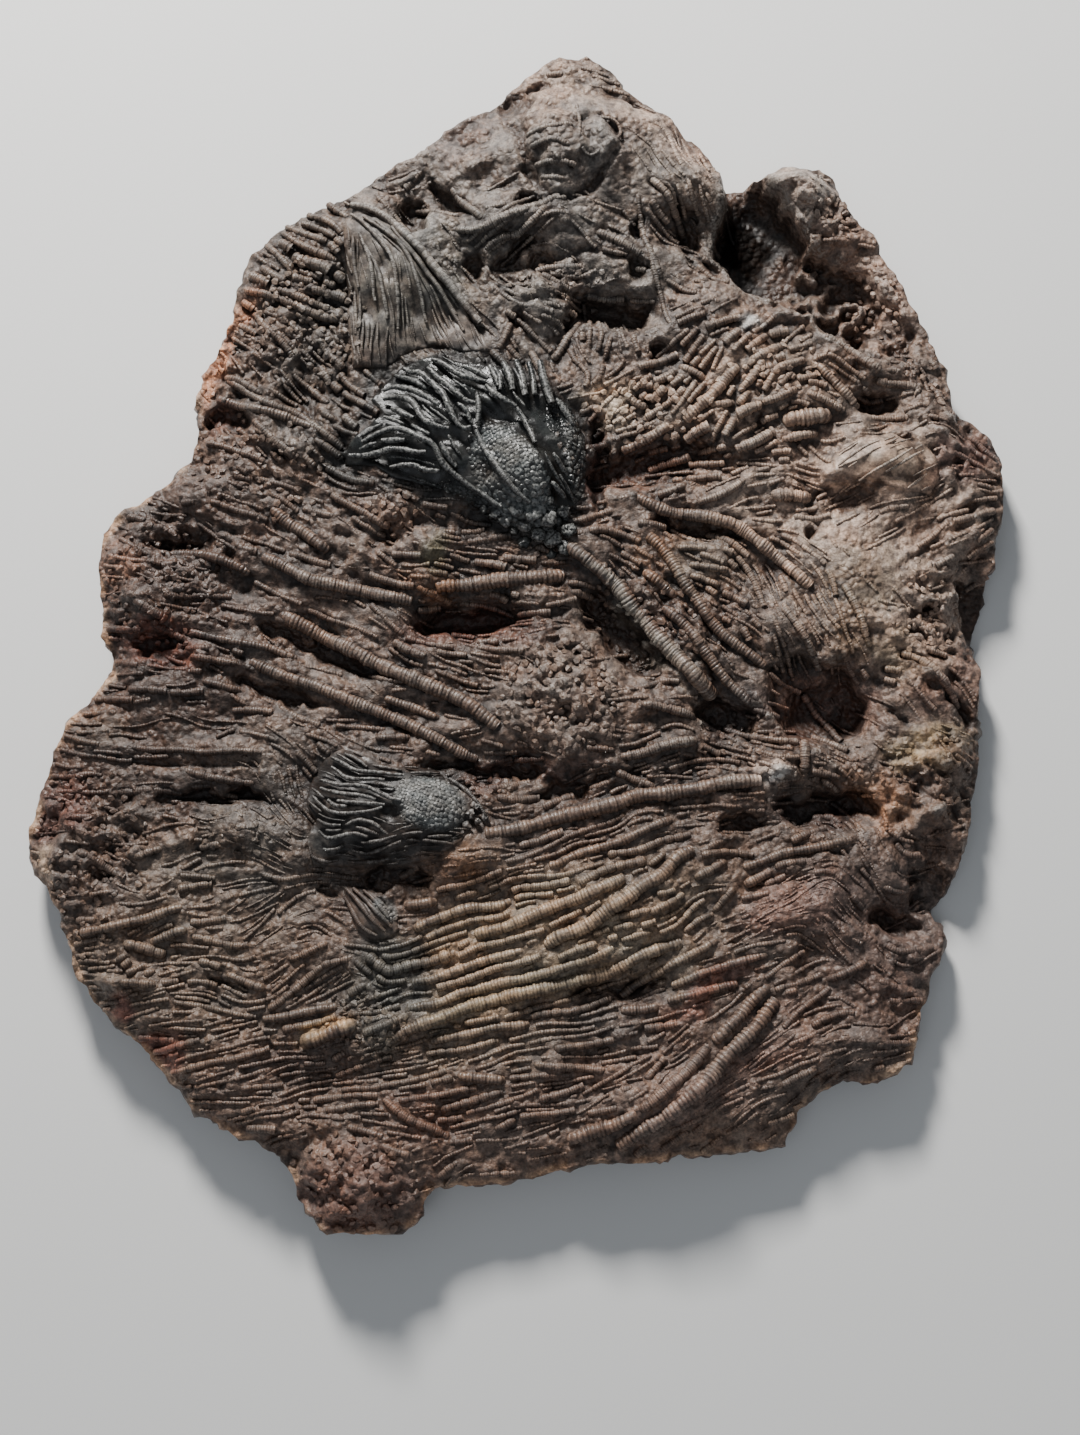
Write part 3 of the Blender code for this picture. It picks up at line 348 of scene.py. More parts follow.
# creases: half width, depth, line
GROOVES = [
    (1.5, 3.4, [(28, 246), (39, 249), (47, 242), (49, 233), (40, 222), (33, 212), (25, 209), (11, 213),
                (3, 224)]),
    (1.2, 2.0, [(11, 239), (25, 245), (28, 235)]), (1.1, 1.8, [(9, 233), (20, 229), (27, 222)]),
    (1.1, 1.8, [(5, 230), (14, 223), (23, 219)]), (1.1, 1.6, [(10, 237), (18, 234), (24, 227)]),
    (1.6, 3.0, [(62, 217), (73, 212), (80, 196), (89, 185), (93, 177)]),
    (1.2, 2.4, [(-176, -17), (-160, -10), (-148, -3)]),
    (1.5, 2.4, [(-144, -72), (-127, -70), (-116, -68), (-95, -77), (-80, -86), (-57, -84)]),
    (1.4, 2.6, [(-173, -52), (-151, -54), (-116, -54)]),
    (1.6, 3.0, [(24, 161), (31, 168), (47, 167), (62, 163)]), (1.0, 1.4, [(146, 76), (162, 73), (178, 82)]),
    (1.0, 1.2, [(165, 50), (178, 59)]), (1.1, 1.6, [(155, 88), (173, 94), (187, 88)]),
    (1.6, 2.6, [(-80, 186), (-79, 150), (-78, 120), (-79, 86)]),
    (1.2, 2.2, [(140, 56), (134, 66), (143, 74)]), (1.4, 2.4, [(176, 37), (190, 48), (203, 55), (212, 60)]),
    (1.2, 2.0, [(-12, 178), (10, 180), (34, 186), (52, 182)]), (1.2, 2.0, [(6, 170), (10, 160), (20, 158)]),
    (1.3, 2.4, [(62, 178), (66, 168), (72, 160)]), (1.0, 1.6, [(98, -112), (114, -105), (132, -104)]),
    (1.0, 1.4, [(102, -122), (120, -128), (140, -124)]), (1.3, 2.0, [(186, -52), (196, -58), (206, -70)]),
    (1.3, 2.0, [(178, -40), (190, -44), (200, -42)]), (1.2, 2.0, [(170, -84), (184, -88), (196, -86)]),
    (1.2, 1.8, [(-112, -130), (-92, -126), (-72, -134)]),
]
# lumps that rise out of the bed: place, half sizes, turn, height
HUMPS = [
    (20, 234, 13, 20, 30, 6.0), (42, 232, 9, 18, 25, 5.0), (58, 246, 16, 9, -40, 3.0),
    (2, 250, 12, 8, 30, 2.5), (-48, 228, 10, 7, 30, 2.5), (-20, 228, 12, 7, -30, 2.5),
    (82, 226, 15, 9, -45, 3.0), (128, 220, 20, 11, -10, 3.5), (110, 237, 15, 6, -30, 4.0),
    (28, 202, 22, 7, 10, 2.5), (10, 170, 12, 9, 0, 3.0), (64, 170, 8, 9, 0, 3.0), (-55, 62, 11, 10, 0, 4.0),
    (-40, 45, 9, 8, 0, 3.5), (-122, 84, 12, 9, 0, 2.5), (-100, 92, 10, 6, -30, 2.5),
    (-140, 60, 10, 7, 0, 2.5), (-130, 40, 12, 7, -20, 2.0), (20, -18, 20, 20, 0, 4.0),
    (-120, -84, 16, 9, 10, 3.5), (-152, -90, 12, 6, 10, 2.0), (-180, -152, 10, 6, 5, 3.0),
    (-60, -172, 14, 11, 0, 2.5), (-98, -98, 12, 9, 10, 2.5), (-98, -124, 16, 7, 20, 2.0),
    (150, 40, 12, 20, 25, 2.5), (120, -58, 8, 6, 0, 4.2), (200, 52, 10, 14, 0, 2.5),
    (190, -50, 14, 8, -10, 2.5), (172, -66, 8, 8, 0, 2.0), (-72, -240, 22, 14, 10, 2.5),
    (130, -115, 18, 9, 10, 1.5), (-20, -98, 13, 6, 20, 1.8), (192, -76, 10, 6, 30, 2.5),
    (-196, -40, 10, 8, 0, 2.0), (165, 12, 6, 6, 0, 1.5),
]
# broken ground, all sharp edges: place, half sizes, turn, depth
CRAGS = [
    (146, 168, 36, 26, -20, 5.0), (168, 140, 20, 16, -30, 3.5), (128, 205, 34, 16, -10, 3.0),
    (200, 100, 16, 40, 0, 2.0), (196, 10, 20, 40, 0, 2.5), (-128, 130, 20, 34, 0, 2.5),
    (-96, 150, 26, 40, -10, 1.8), (22, -20, 26, 30, 0, 2.2), (10, 172, 40, 16, 0, 2.2),
    (-150, 40, 34, 30, 0, 1.8), (-195, -85, 34, 40, 0, 1.8), (180, -70, 22, 40, 0, 2.0),
    (-75, -240, 38, 26, 0, 2.2), (60, 90, 34, 14, 10, 2.2), (-70, 50, 26, 20, 0, 1.8),
    (-190, 10, 20, 24, 0, 1.6), (-60, 226, 26, 12, 30, 2.0), (176, -140, 24, 40, 0, 1.4),
    (70, 15, 26, 40, 40, 1.5), (40, -60, 60, 10, 8, 1.4),
]
# how deep or high each kind of relief goes, in mm
SUNK, SWELL, THIN_STRANDS, BROAD_STRANDS, CRUMB, RIM_CRUMB = 1.3, 2.1, 1.5, 1.9, 0.9, 1.2
WALL = 3.2                                # mm, how wide a steep hollow's wall is
leather = sum(ellipse(grid_x, grid_y, *place, 0.4, 1.2) for place in LEATHER).clip(0, 1)
bed = base.copy()
warped_x = grid_x + 3.4 * waves(grid_x, grid_y, 9.0, 31) + 1.6 * waves(grid_x, grid_y, 3.6, 33)
warped_y = grid_y + 3.4 * waves(grid_x, grid_y, 9.0, 32) + 1.6 * waves(grid_x, grid_y, 3.6, 34)
hollow = np.zeros(bed.shape)
for *place, depth in PITS:
    hollow = np.maximum(hollow, depth * ellipse(warped_x, warped_y, *place, 0.70, 1.05))
for ring, depth in CAVES:
    j, i = block(ring, 8)
    x, y = 0.6 * grid_x[j, i] + 0.4 * warped_x[j, i], 0.6 * grid_y[j, i] + 0.4 * warped_y[j, i]
    wall = np.clip(off_ring(x, y, ring) / WALL, 0, 1) * inside(x, y, ring)
    hollow[j, i] = np.maximum(hollow[j, i], depth * wall * (0.80 + 0.20 * rough(x, y, 8.0, 2, 35)))
bed -= SUNK * hollow
for *place, height in HUMPS:
    bed += height * ellipse(warped_x, warped_y, *place, 0.1, 1.1)
bed += SWELL * rough(grid_x, grid_y, 15.0, 4, 41) * (1 - 0.45 * leather)
# buried strands: round ridges drawn out along the grain, with creases where they meet
thin, broad = streaks(4.4, 34.0, 51), streaks(8.6, 48.0, 52)
calm = 1 - 0.75 * np.clip(hollow / 5, 0, 1)   # the floors of deep hollows are bare
bed += THIN_STRANDS * calm * (np.sqrt(np.abs(thin)) - 0.6) * (1 - 0.35 * leather)
bed += BROAD_STRANDS * calm * (np.sqrt(np.abs(broad)) - 0.6) * (1 - 0.5 * leather)
for width, depth, line in GROOVES:
    off = off_line(warped_x * 0.3 + grid_x * 0.7, warped_y * 0.3 + grid_y * 0.7, line)
    bed -= depth * np.exp(-(off / width) ** 2)
bed += leather * (0.5 * streaks(1.9, 26.0, 53) + 0.9 * streaks(6.0, 40.0, 54))
for *place, size in COBBLES:
    share = calm * ellipse(grid_x, grid_y, *place, 0.35, 1.15) * (1 - 0.8 * leather)
    bed += share * 0.40 * size * (cobbles(warped_x, warped_y, size, 60) - 0.45)
crumbs = cobbles(grid_x + 0.4 * (warped_x - grid_x), grid_y, 3.1, 61) - 0.45
bed += CRUMB * calm * crumbs * (1 - 0.8 * leather)
for *place, depth in CRAGS:
    share = ellipse(warped_x, warped_y, *place, 0.5, 1.1)
    crag = 1 - 2.2 * np.abs(rough(grid_x, grid_y, 11.0, 3, 66))
    bed += share * (depth * (np.clip(crag, -1, 1) - 0.6) + 1.2 * rough(grid_x, grid_y, 4.0, 2, 67))
bed += np.where(rim_off < 14, RIM_CRUMB * rough(grid_x, grid_y, 7.0, 3, 71), 0)
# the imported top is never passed, and the slab is never thin
HEADROOM, THINNEST = 3.5, 6.0
bed = np.clip(bed, THINNEST, cad_high.z / MM - HEADROOM)


def linear(r, g, b):
    """A colour of 0 to 255 as Blender's linear light, by the usual screen curve."""
    return tuple((c / 255 / 12.92) if c < 10.3 else ((c / 255 + 0.055) / 1.055) ** 2.4 for c in (r, g, b))


def over(under, share, colour):
    """Three tints with a colour laid over them by a share from 0 to 1."""
    return [c * (1 - share) + k * share for c, k in zip(under, colour)]


# the last of these is the brown of dirt and painted shade between crowded rods
BARE, CHIPPED, CHARCOAL, DIRT_AND_SHADE_BROWN = (100, 86, 78), (188, 158, 132), (34, 39, 41), (44, 35, 31)
HUE = 0.82                                # how far a stain's colour is from its own grey
# mineral stains that run through bed and skeletons alike, and a few painted shadows and a painted glint:
# place, half sizes, turn, colour, strength
STAINS = [
    (-160, 20, 60, 90, 0, (66, 51, 45), 0.8), (-198, -34, 34, 80, 0, (80, 56, 47), 0.5),
    (-150, -130, 66, 60, 10, (108, 94, 82), 0.8), (-112, -80, 34, 44, 0, (93, 86, 80), 0.8),
    (0, 190, 100, 70, 0, (106, 100, 95), 0.9), (30, 262, 46, 26, -10, (146, 126, 113), 0.8),
    (-28, 248, 24, 11, 36, (96, 78, 70), 0.8), (40, 277, 22, 7, 0, (116, 105, 98), 0.7),
    (80, 240, 34, 16, -42, (164, 143, 130), 0.9), (24, 236, 26, 22, 20, (98, 94, 91), 0.85),
    (75, 215, 26, 16, -40, (140, 128, 118), 0.7), (136, 215, 30, 22, 0, (150, 138, 130), 0.8),
    # the near-black patch at (110, 192) is a painted shadow in the steep hollow beside the peak
    (170, 170, 24, 34, 0, (148, 126, 114), 0.7), (110, 192, 17, 30, 0, (24, 19, 17), 1.0),
    (-52, 168, 32, 46, -50, (100, 98, 93), 0.9), (-98, 185, 28, 32, -40, (96, 86, 78), 0.8),
    (-95, 120, 34, 44, 0, (84, 78, 73), 0.7), (152, 62, 66, 62, 0, (168, 146, 131), 0.85),
    (98, 116, 58, 34, 20, (156, 134, 118), 0.85), (44, 110, 14, 11, 0, (202, 184, 162), 0.85),
    (60, 84, 28, 11, 8, (102, 66, 50), 0.8), (36, 84, 7, 24, 0, (84, 50, 42), 0.85),
    (172, 88, 30, 13, 4, (152, 128, 110), 0.8), (205, 92, 20, 14, 0, (122, 88, 80), 0.7),
    (155, 20, 22, 34, 10, (122, 108, 92), 0.7), (165, 12, 8, 8, 0, (146, 134, 122), 0.7),
    (112, 147, 9, 5, 0, (156, 164, 170), 0.9), (-134, 142, 30, 6.5, 63, (190, 128, 92), 0.95),
    (-136, 108, 11, 10, 0, (112, 70, 56), 0.8), (-58, 60, 15, 12, 0, (120, 97, 84), 0.7),
    (-40, 44, 10, 9, 0, (104, 98, 74), 0.8), (-44, 30, 18, 8, -20, (142, 98, 66), 0.7),
    (-22, 10, 36, 11, 0, (98, 58, 46), 0.85), (22, -22, 30, 28, 0, (118, 104, 96), 0.6),
    (0, -56, 44, 7, 0, (76, 50, 42), 0.8), (62, 20, 30, 20, -45, (84, 66, 58), 0.7),
    (56, 10, 46, 5.5, -49, (138, 133, 125), 0.85), (84, 40, 24, 14, 0, (124, 108, 94), 0.6),
    (66, 42, 12, 12, 0, (140, 102, 76), 0.6), (-165, 2, 20, 9, 0, (112, 62, 48), 0.8),
    (-178, 36, 12, 14, 0, (138, 104, 88), 0.7), (-192, -36, 14, 14, 0, (106, 86, 70), 0.7),
    (-172, -58, 44, 32, 0, (72, 58, 51), 0.7), (-206, -76, 18, 13, 0, (98, 62, 53), 0.75),
    (-216, -98, 8, 14, 15, (176, 148, 124), 0.9), (-190, -105, 30, 24, 0, (88, 74, 68), 0.6),
    # the dark patch at (-135, -68) is a painted shadow in the hollow under the ledge
    (-135, -68, 30, 8, 0, (60, 48, 44), 0.7), (-22, -97, 18, 12, 10, (140, 104, 78), 0.9),
    (10, -140, 84, 42, 17, (150, 132, 111), 0.88), (-24, -128, 34, 14, 14, (140, 120, 96), 0.7),
    (-8, -160, 50, 9, 16, (138, 121, 96), 0.7), (40, -136, 46, 14, 22, (134, 123, 106), 0.6),
    (-55, -150, 22, 26, 0, (74, 74, 70), 0.8), (-66, -165, 26, 26, 0, (80, 80, 76), 0.7),
    (34, -166, 44, 12, 10, (84, 74, 72), 0.7), (60, -192, 70, 26, 20, (116, 96, 86), 0.7),
    (84, -158, 24, 8, 36, (134, 92, 80), 0.8), (112, -182, 26, 9, 42, (130, 98, 86), 0.7),
    (-40, -206, 26, 14, 0, (116, 84, 70), 0.7), (-72, -242, 36, 24, 0, (106, 76, 66), 0.8),
    (128, -114, 28, 16, 10, (138, 106, 96), 0.75), (168, -135, 42, 52, 0, (96, 79, 73), 0.85),
    (140, -26, 26, 18, 0, (120, 90, 80), 0.85), (142, -74, 28, 9, 0, (66, 52, 50), 0.8),
    (185, -46, 20, 11, -10, (150, 128, 95), 0.8), (166, -70, 16, 14, 0, (158, 118, 90), 0.75),
    (118, -57, 12, 8, 0, (188, 172, 162), 0.9), (178, 2, 26, 19, 0, (162, 140, 126), 0.7),
    # the pale chip at (118, -57) is its own colour, and the near-white spot at (122, -58) on it is a painted
    # glint
    (122, -58, 6, 4.5, 0, (222, 224, 226), 1.0), (170, -2, 26, 8, -10, (134, 118, 96), 0.6),
    (202, -20, 16, 24, -50, (132, 104, 92), 0.7), (100, -30, 18, 12, 0, (70, 62, 64), 0.6),
    (-92, -186, 26, 12, 0, (92, 72, 64), 0.5), (-84, -174, 11, 5, 14, (176, 146, 108), 0.9),
    (-172, -164, 9, 7, 0, (140, 86, 72), 0.85), (-157, -183, 9, 6, 0, (136, 84, 70), 0.85),
    (172, 84, 26, 12, 10, (158, 140, 124), 0.7), (-203, -4, 12, 30, 10, (112, 84, 72), 0.6),
    (15, -221, 70, 11, 4, (112, 90, 78), 0.5), (82, -204, 30, 11, 8, (126, 106, 98), 0.7),
    (100, -219, 34, 9, 4, (122, 102, 88), 0.7),
]
tints = [np.full(grid_x.shape, c) for c in linear(*BARE)]
stain_x = grid_x + 7 * waves(grid_x, grid_y, 17.0, 81) + 3 * waves(grid_x, grid_y, 5.0, 82)
stain_y = grid_y + 7 * waves(grid_x, grid_y, 17.0, 83) + 3 * waves(grid_x, grid_y, 5.0, 84)
for *place, colour, strength in STAINS:
    share = strength * ellipse(stain_x, stain_y, *place, 0.35, 1.3)
    grey = sum(colour) / 3
    tints = over(tints, share, linear(*(grey + HUE * (c - grey) for c in colour)))
# the rim is chipped pale along the left and the foot
chips = np.clip(1.15 - rim_off / 3.2, 0, 1) * np.clip(0.5 + 1.6 * waves(grid_x, grid_y, 6.0, 85), 0, 1)
chips = 0.9 * chips * np.clip((40 - grid_x - grid_y) / 40, 0, 1)
tints = over(tints, chips, linear(*CHIPPED))


def at_foot(y):
    """How far towards the slab's foot a place is, from 0 to 1."""
    return np.clip((-60 - y) / 70, 0, 1)


def weather_and_paint_light(mesh, tone=(1, 1, 1), char=None, relief_size=3.0, soot=CHARCOAL):
    """Stores on a mesh its stains and painted light, and how far each point stands out of level, the mean
    height there.
    """
    count = len(mesh.vertices)
    place = np.empty(count * 3)
    mesh.vertices.foreach_get("co", place)
    place = place.reshape(-1, 3) / MM
    x, y = place[:, 0] + MIDDLE[0], place[:, 1] + MIDDLE[1]
    colour = np.ones((count, 4))
    for k in range(3):
        colour[:, k] = at(tints[k], x, y) * tone[k]
    if char is not None:
        colour[:, :3] = np.stack(over(colour.T[:3], char(x, y), linear(*soot)), -1)
    # the relief's dirt and painted shade, wear and painted highlight are weaker at the foot and the left of
    # the slab than at its head, but less so on the long stems
    relief_softening = np.maximum(at_foot(y), 0.5 * np.clip((-90 - x) / 60, 0, 1))
    relief_softening = 1 + 3.0 * relief_softening * (1 - 0.3 * ellipse(x, y, 10, -140, 84, 42, 17, 0.6, 1.2))
    relief = 0.5 + (place[:, 2] - at(level, x, y)) / (2 * relief_size * relief_softening)
    mesh.attributes.new("stain_and_painted_light", "FLOAT_COLOR", "POINT").data.foreach_set("color", colour.ravel())
    mesh.attributes.new("relief", "FLOAT", "POINT").data.foreach_set("value", np.clip(relief, 0, 1))


def adder(tree):
    """A function that adds a node to a tree: its kind, what goes into each socket, and its settings.

    A socket is linked where it is given another node's output and set where it is given a value. The
    function returns one of the new node's outputs, the first unless it is told which.
    """
    def add(kind, sockets=(), out=0, **settings):
        node = tree.nodes.new(kind)
        for name, value in settings.items():
            setattr(node, name, value)
        for socket, value in dict(sockets).items():
            if isinstance(value, bpy.types.NodeSocket):
                tree.links.new(value, node.inputs[socket])
            else:
                node.inputs[socket].default_value = value
        return node.outputs[out]

    return add


def sums_of(add):
    """A function that adds a sum on one or two values to a tree: its name, then the values."""
    def sums(operation, *values, clamp=False):
        return add("ShaderNodeMath", dict(enumerate(values)), operation=operation, use_clamp=clamp)

    return sums


def weathered_stone_with_painted_light(name, worn, gloss, grit, lumps=0):
    """Stone stained through, with dirt and painted shade in its recesses and pale wear and a painted
    highlight on its tops.
    """
    made = bpy.data.materials.new(name)
    made.use_nodes = True
    shader = made.node_tree.nodes["Principled BSDF"].inputs
    link, add = made.node_tree.links.new, adder(made.node_tree)
    sums = sums_of(add)
    where = add("ShaderNodeTexCoord", out="Object")
    stain_and_painted_light, relief, along = (add("ShaderNodeAttribute", out=out, attribute_name=name)
                            for name, out in (("stain_and_painted_light", "Color"), ("relief", "Fac"), ("rings", "Fac")))

    def noise(scale, detail, distortion=0.0):
        """Cloudy unevenness that is fixed to the stone."""
        sockets = {"Vector": where, "Scale": scale, "Detail": detail, "Distortion": distortion}
        return add("ShaderNodeTexNoise", sockets, "Fac")

    def ramp(value, low, high, to_low=0.0, to_high=1.0):
        """A value carried smoothly from one range to another."""
        names = ("Value", "From Min", "From Max", "To Min", "To Max")
        return add("ShaderNodeMapRange", dict(zip(names, (value, low, high, to_low, to_high))),
                   interpolation_type="SMOOTHSTEP")

    def mix(share, a, b, blend="MIX"):
        """Two colours mixed."""
        a, b = ((*c, 1) if isinstance(c, tuple) else c for c in (a, b))
        return add("ShaderNodeMix", {0: share, 6: a, 7: b}, 2, data_type="RGBA", blend_type=blend)

    def toned(colour, share, low, high):
        """A colour multiplied by one that goes from low to high."""
        return mix(1.0, colour, mix(share, low, high), "MULTIPLY")

    # the second colour darkens recesses, as dirt and as painted shade
    rust, dirt_and_shade, joint_dirt = (1.16, 1.0, 0.91), (0.24, 0.195, 0.175), (0.24, 0.21, 0.20)
    # unevenness from some 20 mm across down to half a mm
    patches, mottle, grains, specks = noise(55, 4, 0.6), noise(260, 5, 0.4), noise(900, 3), noise(2300, 2)
    height = sums("ADD", relief, ramp(mottle, 0.3, 0.7, -0.10, 0.10))
    rusty = mix(1.0, stain_and_painted_light, rust, "MULTIPLY")
    colour = mix(ramp(patches, 0.35, 0.68), stain_and_painted_light, rusty)
    colour = toned(colour, ramp(mottle, 0.3, 0.72), (0.62, 0.62, 0.63), (1.36, 1.34, 1.30))
    colour = toned(colour, ramp(grains, 0.32, 0.7), (0.74, 0.73, 0.72), (1.26, 1.25, 1.24))
    # dirt and painted shade in what lies low, and pale wear and a painted highlight on what stands out
    dirty_and_shaded = mix(1.0, colour, dirt_and_shade, "MULTIPLY")
    colour = mix(ramp(height, 0.50, 0.14, 0.0, 0.88), colour, dirty_and_shaded)
    wear_and_highlight = sums("MULTIPLY", ramp(height, 0.60, 0.96, 0.0, 0.55), ramp(grains, 0.38, 0.62))
    colour = mix(wear_and_highlight, colour, worn)

    # faint rings round a stem or rod, where its mesh says how far along it each point lies

    def lines(pitch, wide):
        """1 on a line across the rod at every pitch rings, 0 between."""
        turn = sums("FRACT", sums("ADD", sums("DIVIDE", along, pitch), 0.5))
        return ramp(sums("ABSOLUTE", sums("SUBTRACT", turn, 0.5)), wide, 0.3 * wide)

    # every fourth joint is a break, and each length between two breaks has its own tone
    lengths = {"W": sums("FLOOR", sums("DIVIDE", along, 4.0))}
    lengths = add("ShaderNodeTexWhiteNoise", lengths, "Value", noise_dimensions="1D")
    ring = sums("MULTIPLY", lines(1.0, 0.20), ramp(mottle, 0.36, 0.6, 0.35, 1.0))
    ring = sums("MAXIMUM", ring, sums("MULTIPLY", lines(4.0, 0.09), 1.3))
    ring = sums("MULTIPLY", ring, sums("GREATER_THAN", along, 0.02))
    joint = mix(1.0, colour, joint_dirt, "MULTIPLY")
    colour = mix(sums("MULTIPLY", ring, 0.50, clamp=True), colour, joint)
    colour = toned(colour, lengths, (0.80, 0.79, 0.78), (1.22, 1.21, 1.18))
    link(colour, shader["Base Color"])
    link(ramp(mottle, 0.3, 0.7, gloss + 0.16, gloss - 0.08), shader["Roughness"])
    shader["Specular IOR Level"].default_value = 0.5
    # the fine relief: grains, specks and joints, and knobs on the bed
    fine = sums("ADD", sums("MULTIPLY", grains, 0.62), sums("MULTIPLY", specks, 0.38))
    fine = sums("SUBTRACT", fine, sums("MULTIPLY", ring, 0.55))
    if lumps:
        # the darkest hollows are dull
        dark = add("ShaderNodeAttribute", out="Fac", attribute_name="stain_and_painted_light")
        link(ramp(dark, 0.008, 0.03, 0.04, 0.5), shader["Specular IOR Level"])
        knobs = {"Vector": where, "Scale": lumps, "Smoothness": 0.35}
        knobs = add("ShaderNodeTexVoronoi", knobs, "Distance", feature="SMOOTH_F1")
        knob = sums("MULTIPLY", ramp(knobs, 0.05, 0.75, 1.0, 0.0), ramp(patches, 0.30, 0.60, 0.25, 1.0))
        fine = sums("ADD", fine, sums("MULTIPLY", knob, 1.5))
    bump = add("ShaderNodeBump", {"Strength": grit, "Distance": 0.0009, "Height": fine}, "Normal")
    link(bump, shader["Normal"])
    return made


def in_world(places):
    """Places in mm from the slab's marks as Blender's, in metres."""
    places = np.asarray(places, float)
    return np.column_stack([places[:, 0] - MIDDLE[0], places[:, 1] - MIDDLE[1], places[:, 2]]) * MM


def shown(name, data):
    """A new object in the scene."""
    thing = bpy.data.objects.new(name, data)
    bpy.context.scene.collection.objects.link(thing)
    return thing


def into_mesh(name, corners, faces, material):
    """A smooth mesh object at the origin from places in mm."""
    mesh = bpy.data.meshes.new(name)
    mesh.from_pydata(in_world(corners).tolist(), [], faces)
    mesh.materials.append(material)
    mesh.polygons.foreach_set("use_smooth", [True] * len(mesh.polygons))
    return shown(name, mesh)


def fine_ring(ring, step, out, seed):
    """A clockwise ring cut into steps, each pushed in or out of it by up to about out mm."""
    ring = np.array(ring, float)
    turned = np.roll(ring, -1, 0)
    points = []
    for (x1, y1), (x2, y2) in zip(ring, turned):
        run = math.hypot(x2 - x1, y2 - y1)
        cuts = max(1, round(run / step))
        shares = [k / cuts for k in range(cuts)]
        points += [(x1 + (x2 - x1) * t, y1 + (y2 - y1) * t) for t in shares]
    points = np.array(points)
    ahead = np.roll(points, -2, 0) - np.roll(points, 2, 0)
    outwards = np.column_stack([-ahead[:, 1], ahead[:, 0]]) / np.hypot(*ahead.T)[:, None]
    push = out * (rough(points[:, 0], points[:, 1], 9.0, 3, seed) - 0.15)
    return points + outwards * push[:, None], outwards


def filled(ring, points):
    """Triangles that fill an anticlockwise ring and pass through points inside it."""
    count = len(ring)
    flat = [Vector(p) for p in ring] + [Vector(p) for p in points]
    made = delaunay_2d_cdt(flat, [], [list(range(count))], 1, 1e-4)
    corners = np.array([tuple(p) for p in made[0]])
    faces = [tuple(f) for f, owner in zip(made[2], made[5]) if 0 in owner]
    place = {old: new for new, olds in enumerate(made[3]) for old in olds}
    return corners, faces, [place[i] for i in range(count)]


def slab_mesh():
    """The slab's corners and faces: a fine top, a broken side and a flat back."""
    step, rim_step, clear, margin = 1.5, 1.9, 0.9, 0.1   # mm
    ring, outwards = fine_ring(OUTLINE, rim_step, 1.5, 91)
    low = np.array([cad_low.x, cad_low.y]) / MM + MIDDLE + margin
    high = np.array([cad_high.x, cad_high.y]) / MM + MIDDLE - margin
    ring = np.clip(ring, low, high)
    spots = []
    for row, y in enumerate(np.arange(FOOT, FOOT + ROWS, step * math.sqrt(0.75))):
        x = np.arange(LEFT, LEFT + COLUMNS, step) + 0.5 * step * (row % 2)
        spots.append(np.column_stack([x, np.full(len(x), y)]))
    spots = np.concatenate(spots)
    shift = np.random.default_rng(92).uniform(-0.22, 0.22, spots.shape) * step
    spots = (spots + shift)[inside(*spots.T, OUTLINE) | (at(rim_off, *spots.T) < 3)]
    edge = at(rim_off, *spots.T) < 5
    keep = np.ones(len(spots), bool)
    keep[edge] = inside(*spots[edge].T, ring) & (off_ring(*spots[edge].T, ring) > clear)
    corners, faces, rim = filled(ring[::-1].tolist(), spots[keep].tolist())
    rim = rim[::-1]
    top = np.column_stack([corners, at(bed, *corners.T)])
    heights = top[rim, 2]
    points, rows = [top], [np.array(rim)]
    count, total = len(rim), len(top)
    # the side leans in to the back: share of the height, and how far out it stands there in mm
    for share, out in ((0.80, 0.7), (0.60, 0.5), (0.40, -0.6), (0.20, -2.2), (0.0, -4.8)):
        broken = rough(ring[:, 0] + 40 * share, ring[:, 1] - 25 * share, 6.0, 3, 93)
        push = out + (1.5 if share else 0.6) * broken
        wall = np.clip(ring + outwards * push[:, None], low, high)
        points.append(np.column_stack([wall, heights * share]))
        rows.append(np.arange(total, total + count))
        total += count
    for above, below in zip(rows, rows[1:]):
        quads = np.column_stack([above, np.roll(above, -1), np.roll(below, -1), below])
        faces += [tuple(quad) for quad in quads.tolist()]
    wall = points[-1][:, :2]
    flat, back, around = filled(wall[::-1].tolist(), [])
    names = {new: int(rows[-1][count - 1 - k]) for k, new in enumerate(around)}
    faces += [tuple(names[k] for k in reversed(face)) for face in back if all(k in names for k in face)]
    return np.vstack(points), faces


# Stems and rods: calcite columns of stacked rings, half sunk in the bed. Each is a line laid over the
# bed, and one node tree turns any set of lines into ringed tubes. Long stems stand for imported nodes.
def stem_line(name):
    """A packed stem's thickness and its middle line, from a curve fitted to its corners."""
    places = np.array([v.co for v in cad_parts[name].data.vertices]) / MM + [*MIDDLE, 0]
    places = places[:, :2]
    middle = places.mean(0)
    axes = np.linalg.svd(places - middle, full_matrices=False)[2]
    axes = axes * np.sign(axes[:, :1])
    along, across = ((places - middle) @ axes.T).T
    bend = np.polyfit(along, across, 6 if np.ptp(along) > 60 else 2 if np.ptp(along) < 22 else 3)
    marks = np.linspace(along.min() + 0.7, along.max() - 0.7, max(3, int(np.ptp(along) / 6)))
    thick = 2.4 * np.std(across - np.polyval(bend, along))
    return thick, middle + np.column_stack([marks, np.polyval(bend, marks)]) @ axes


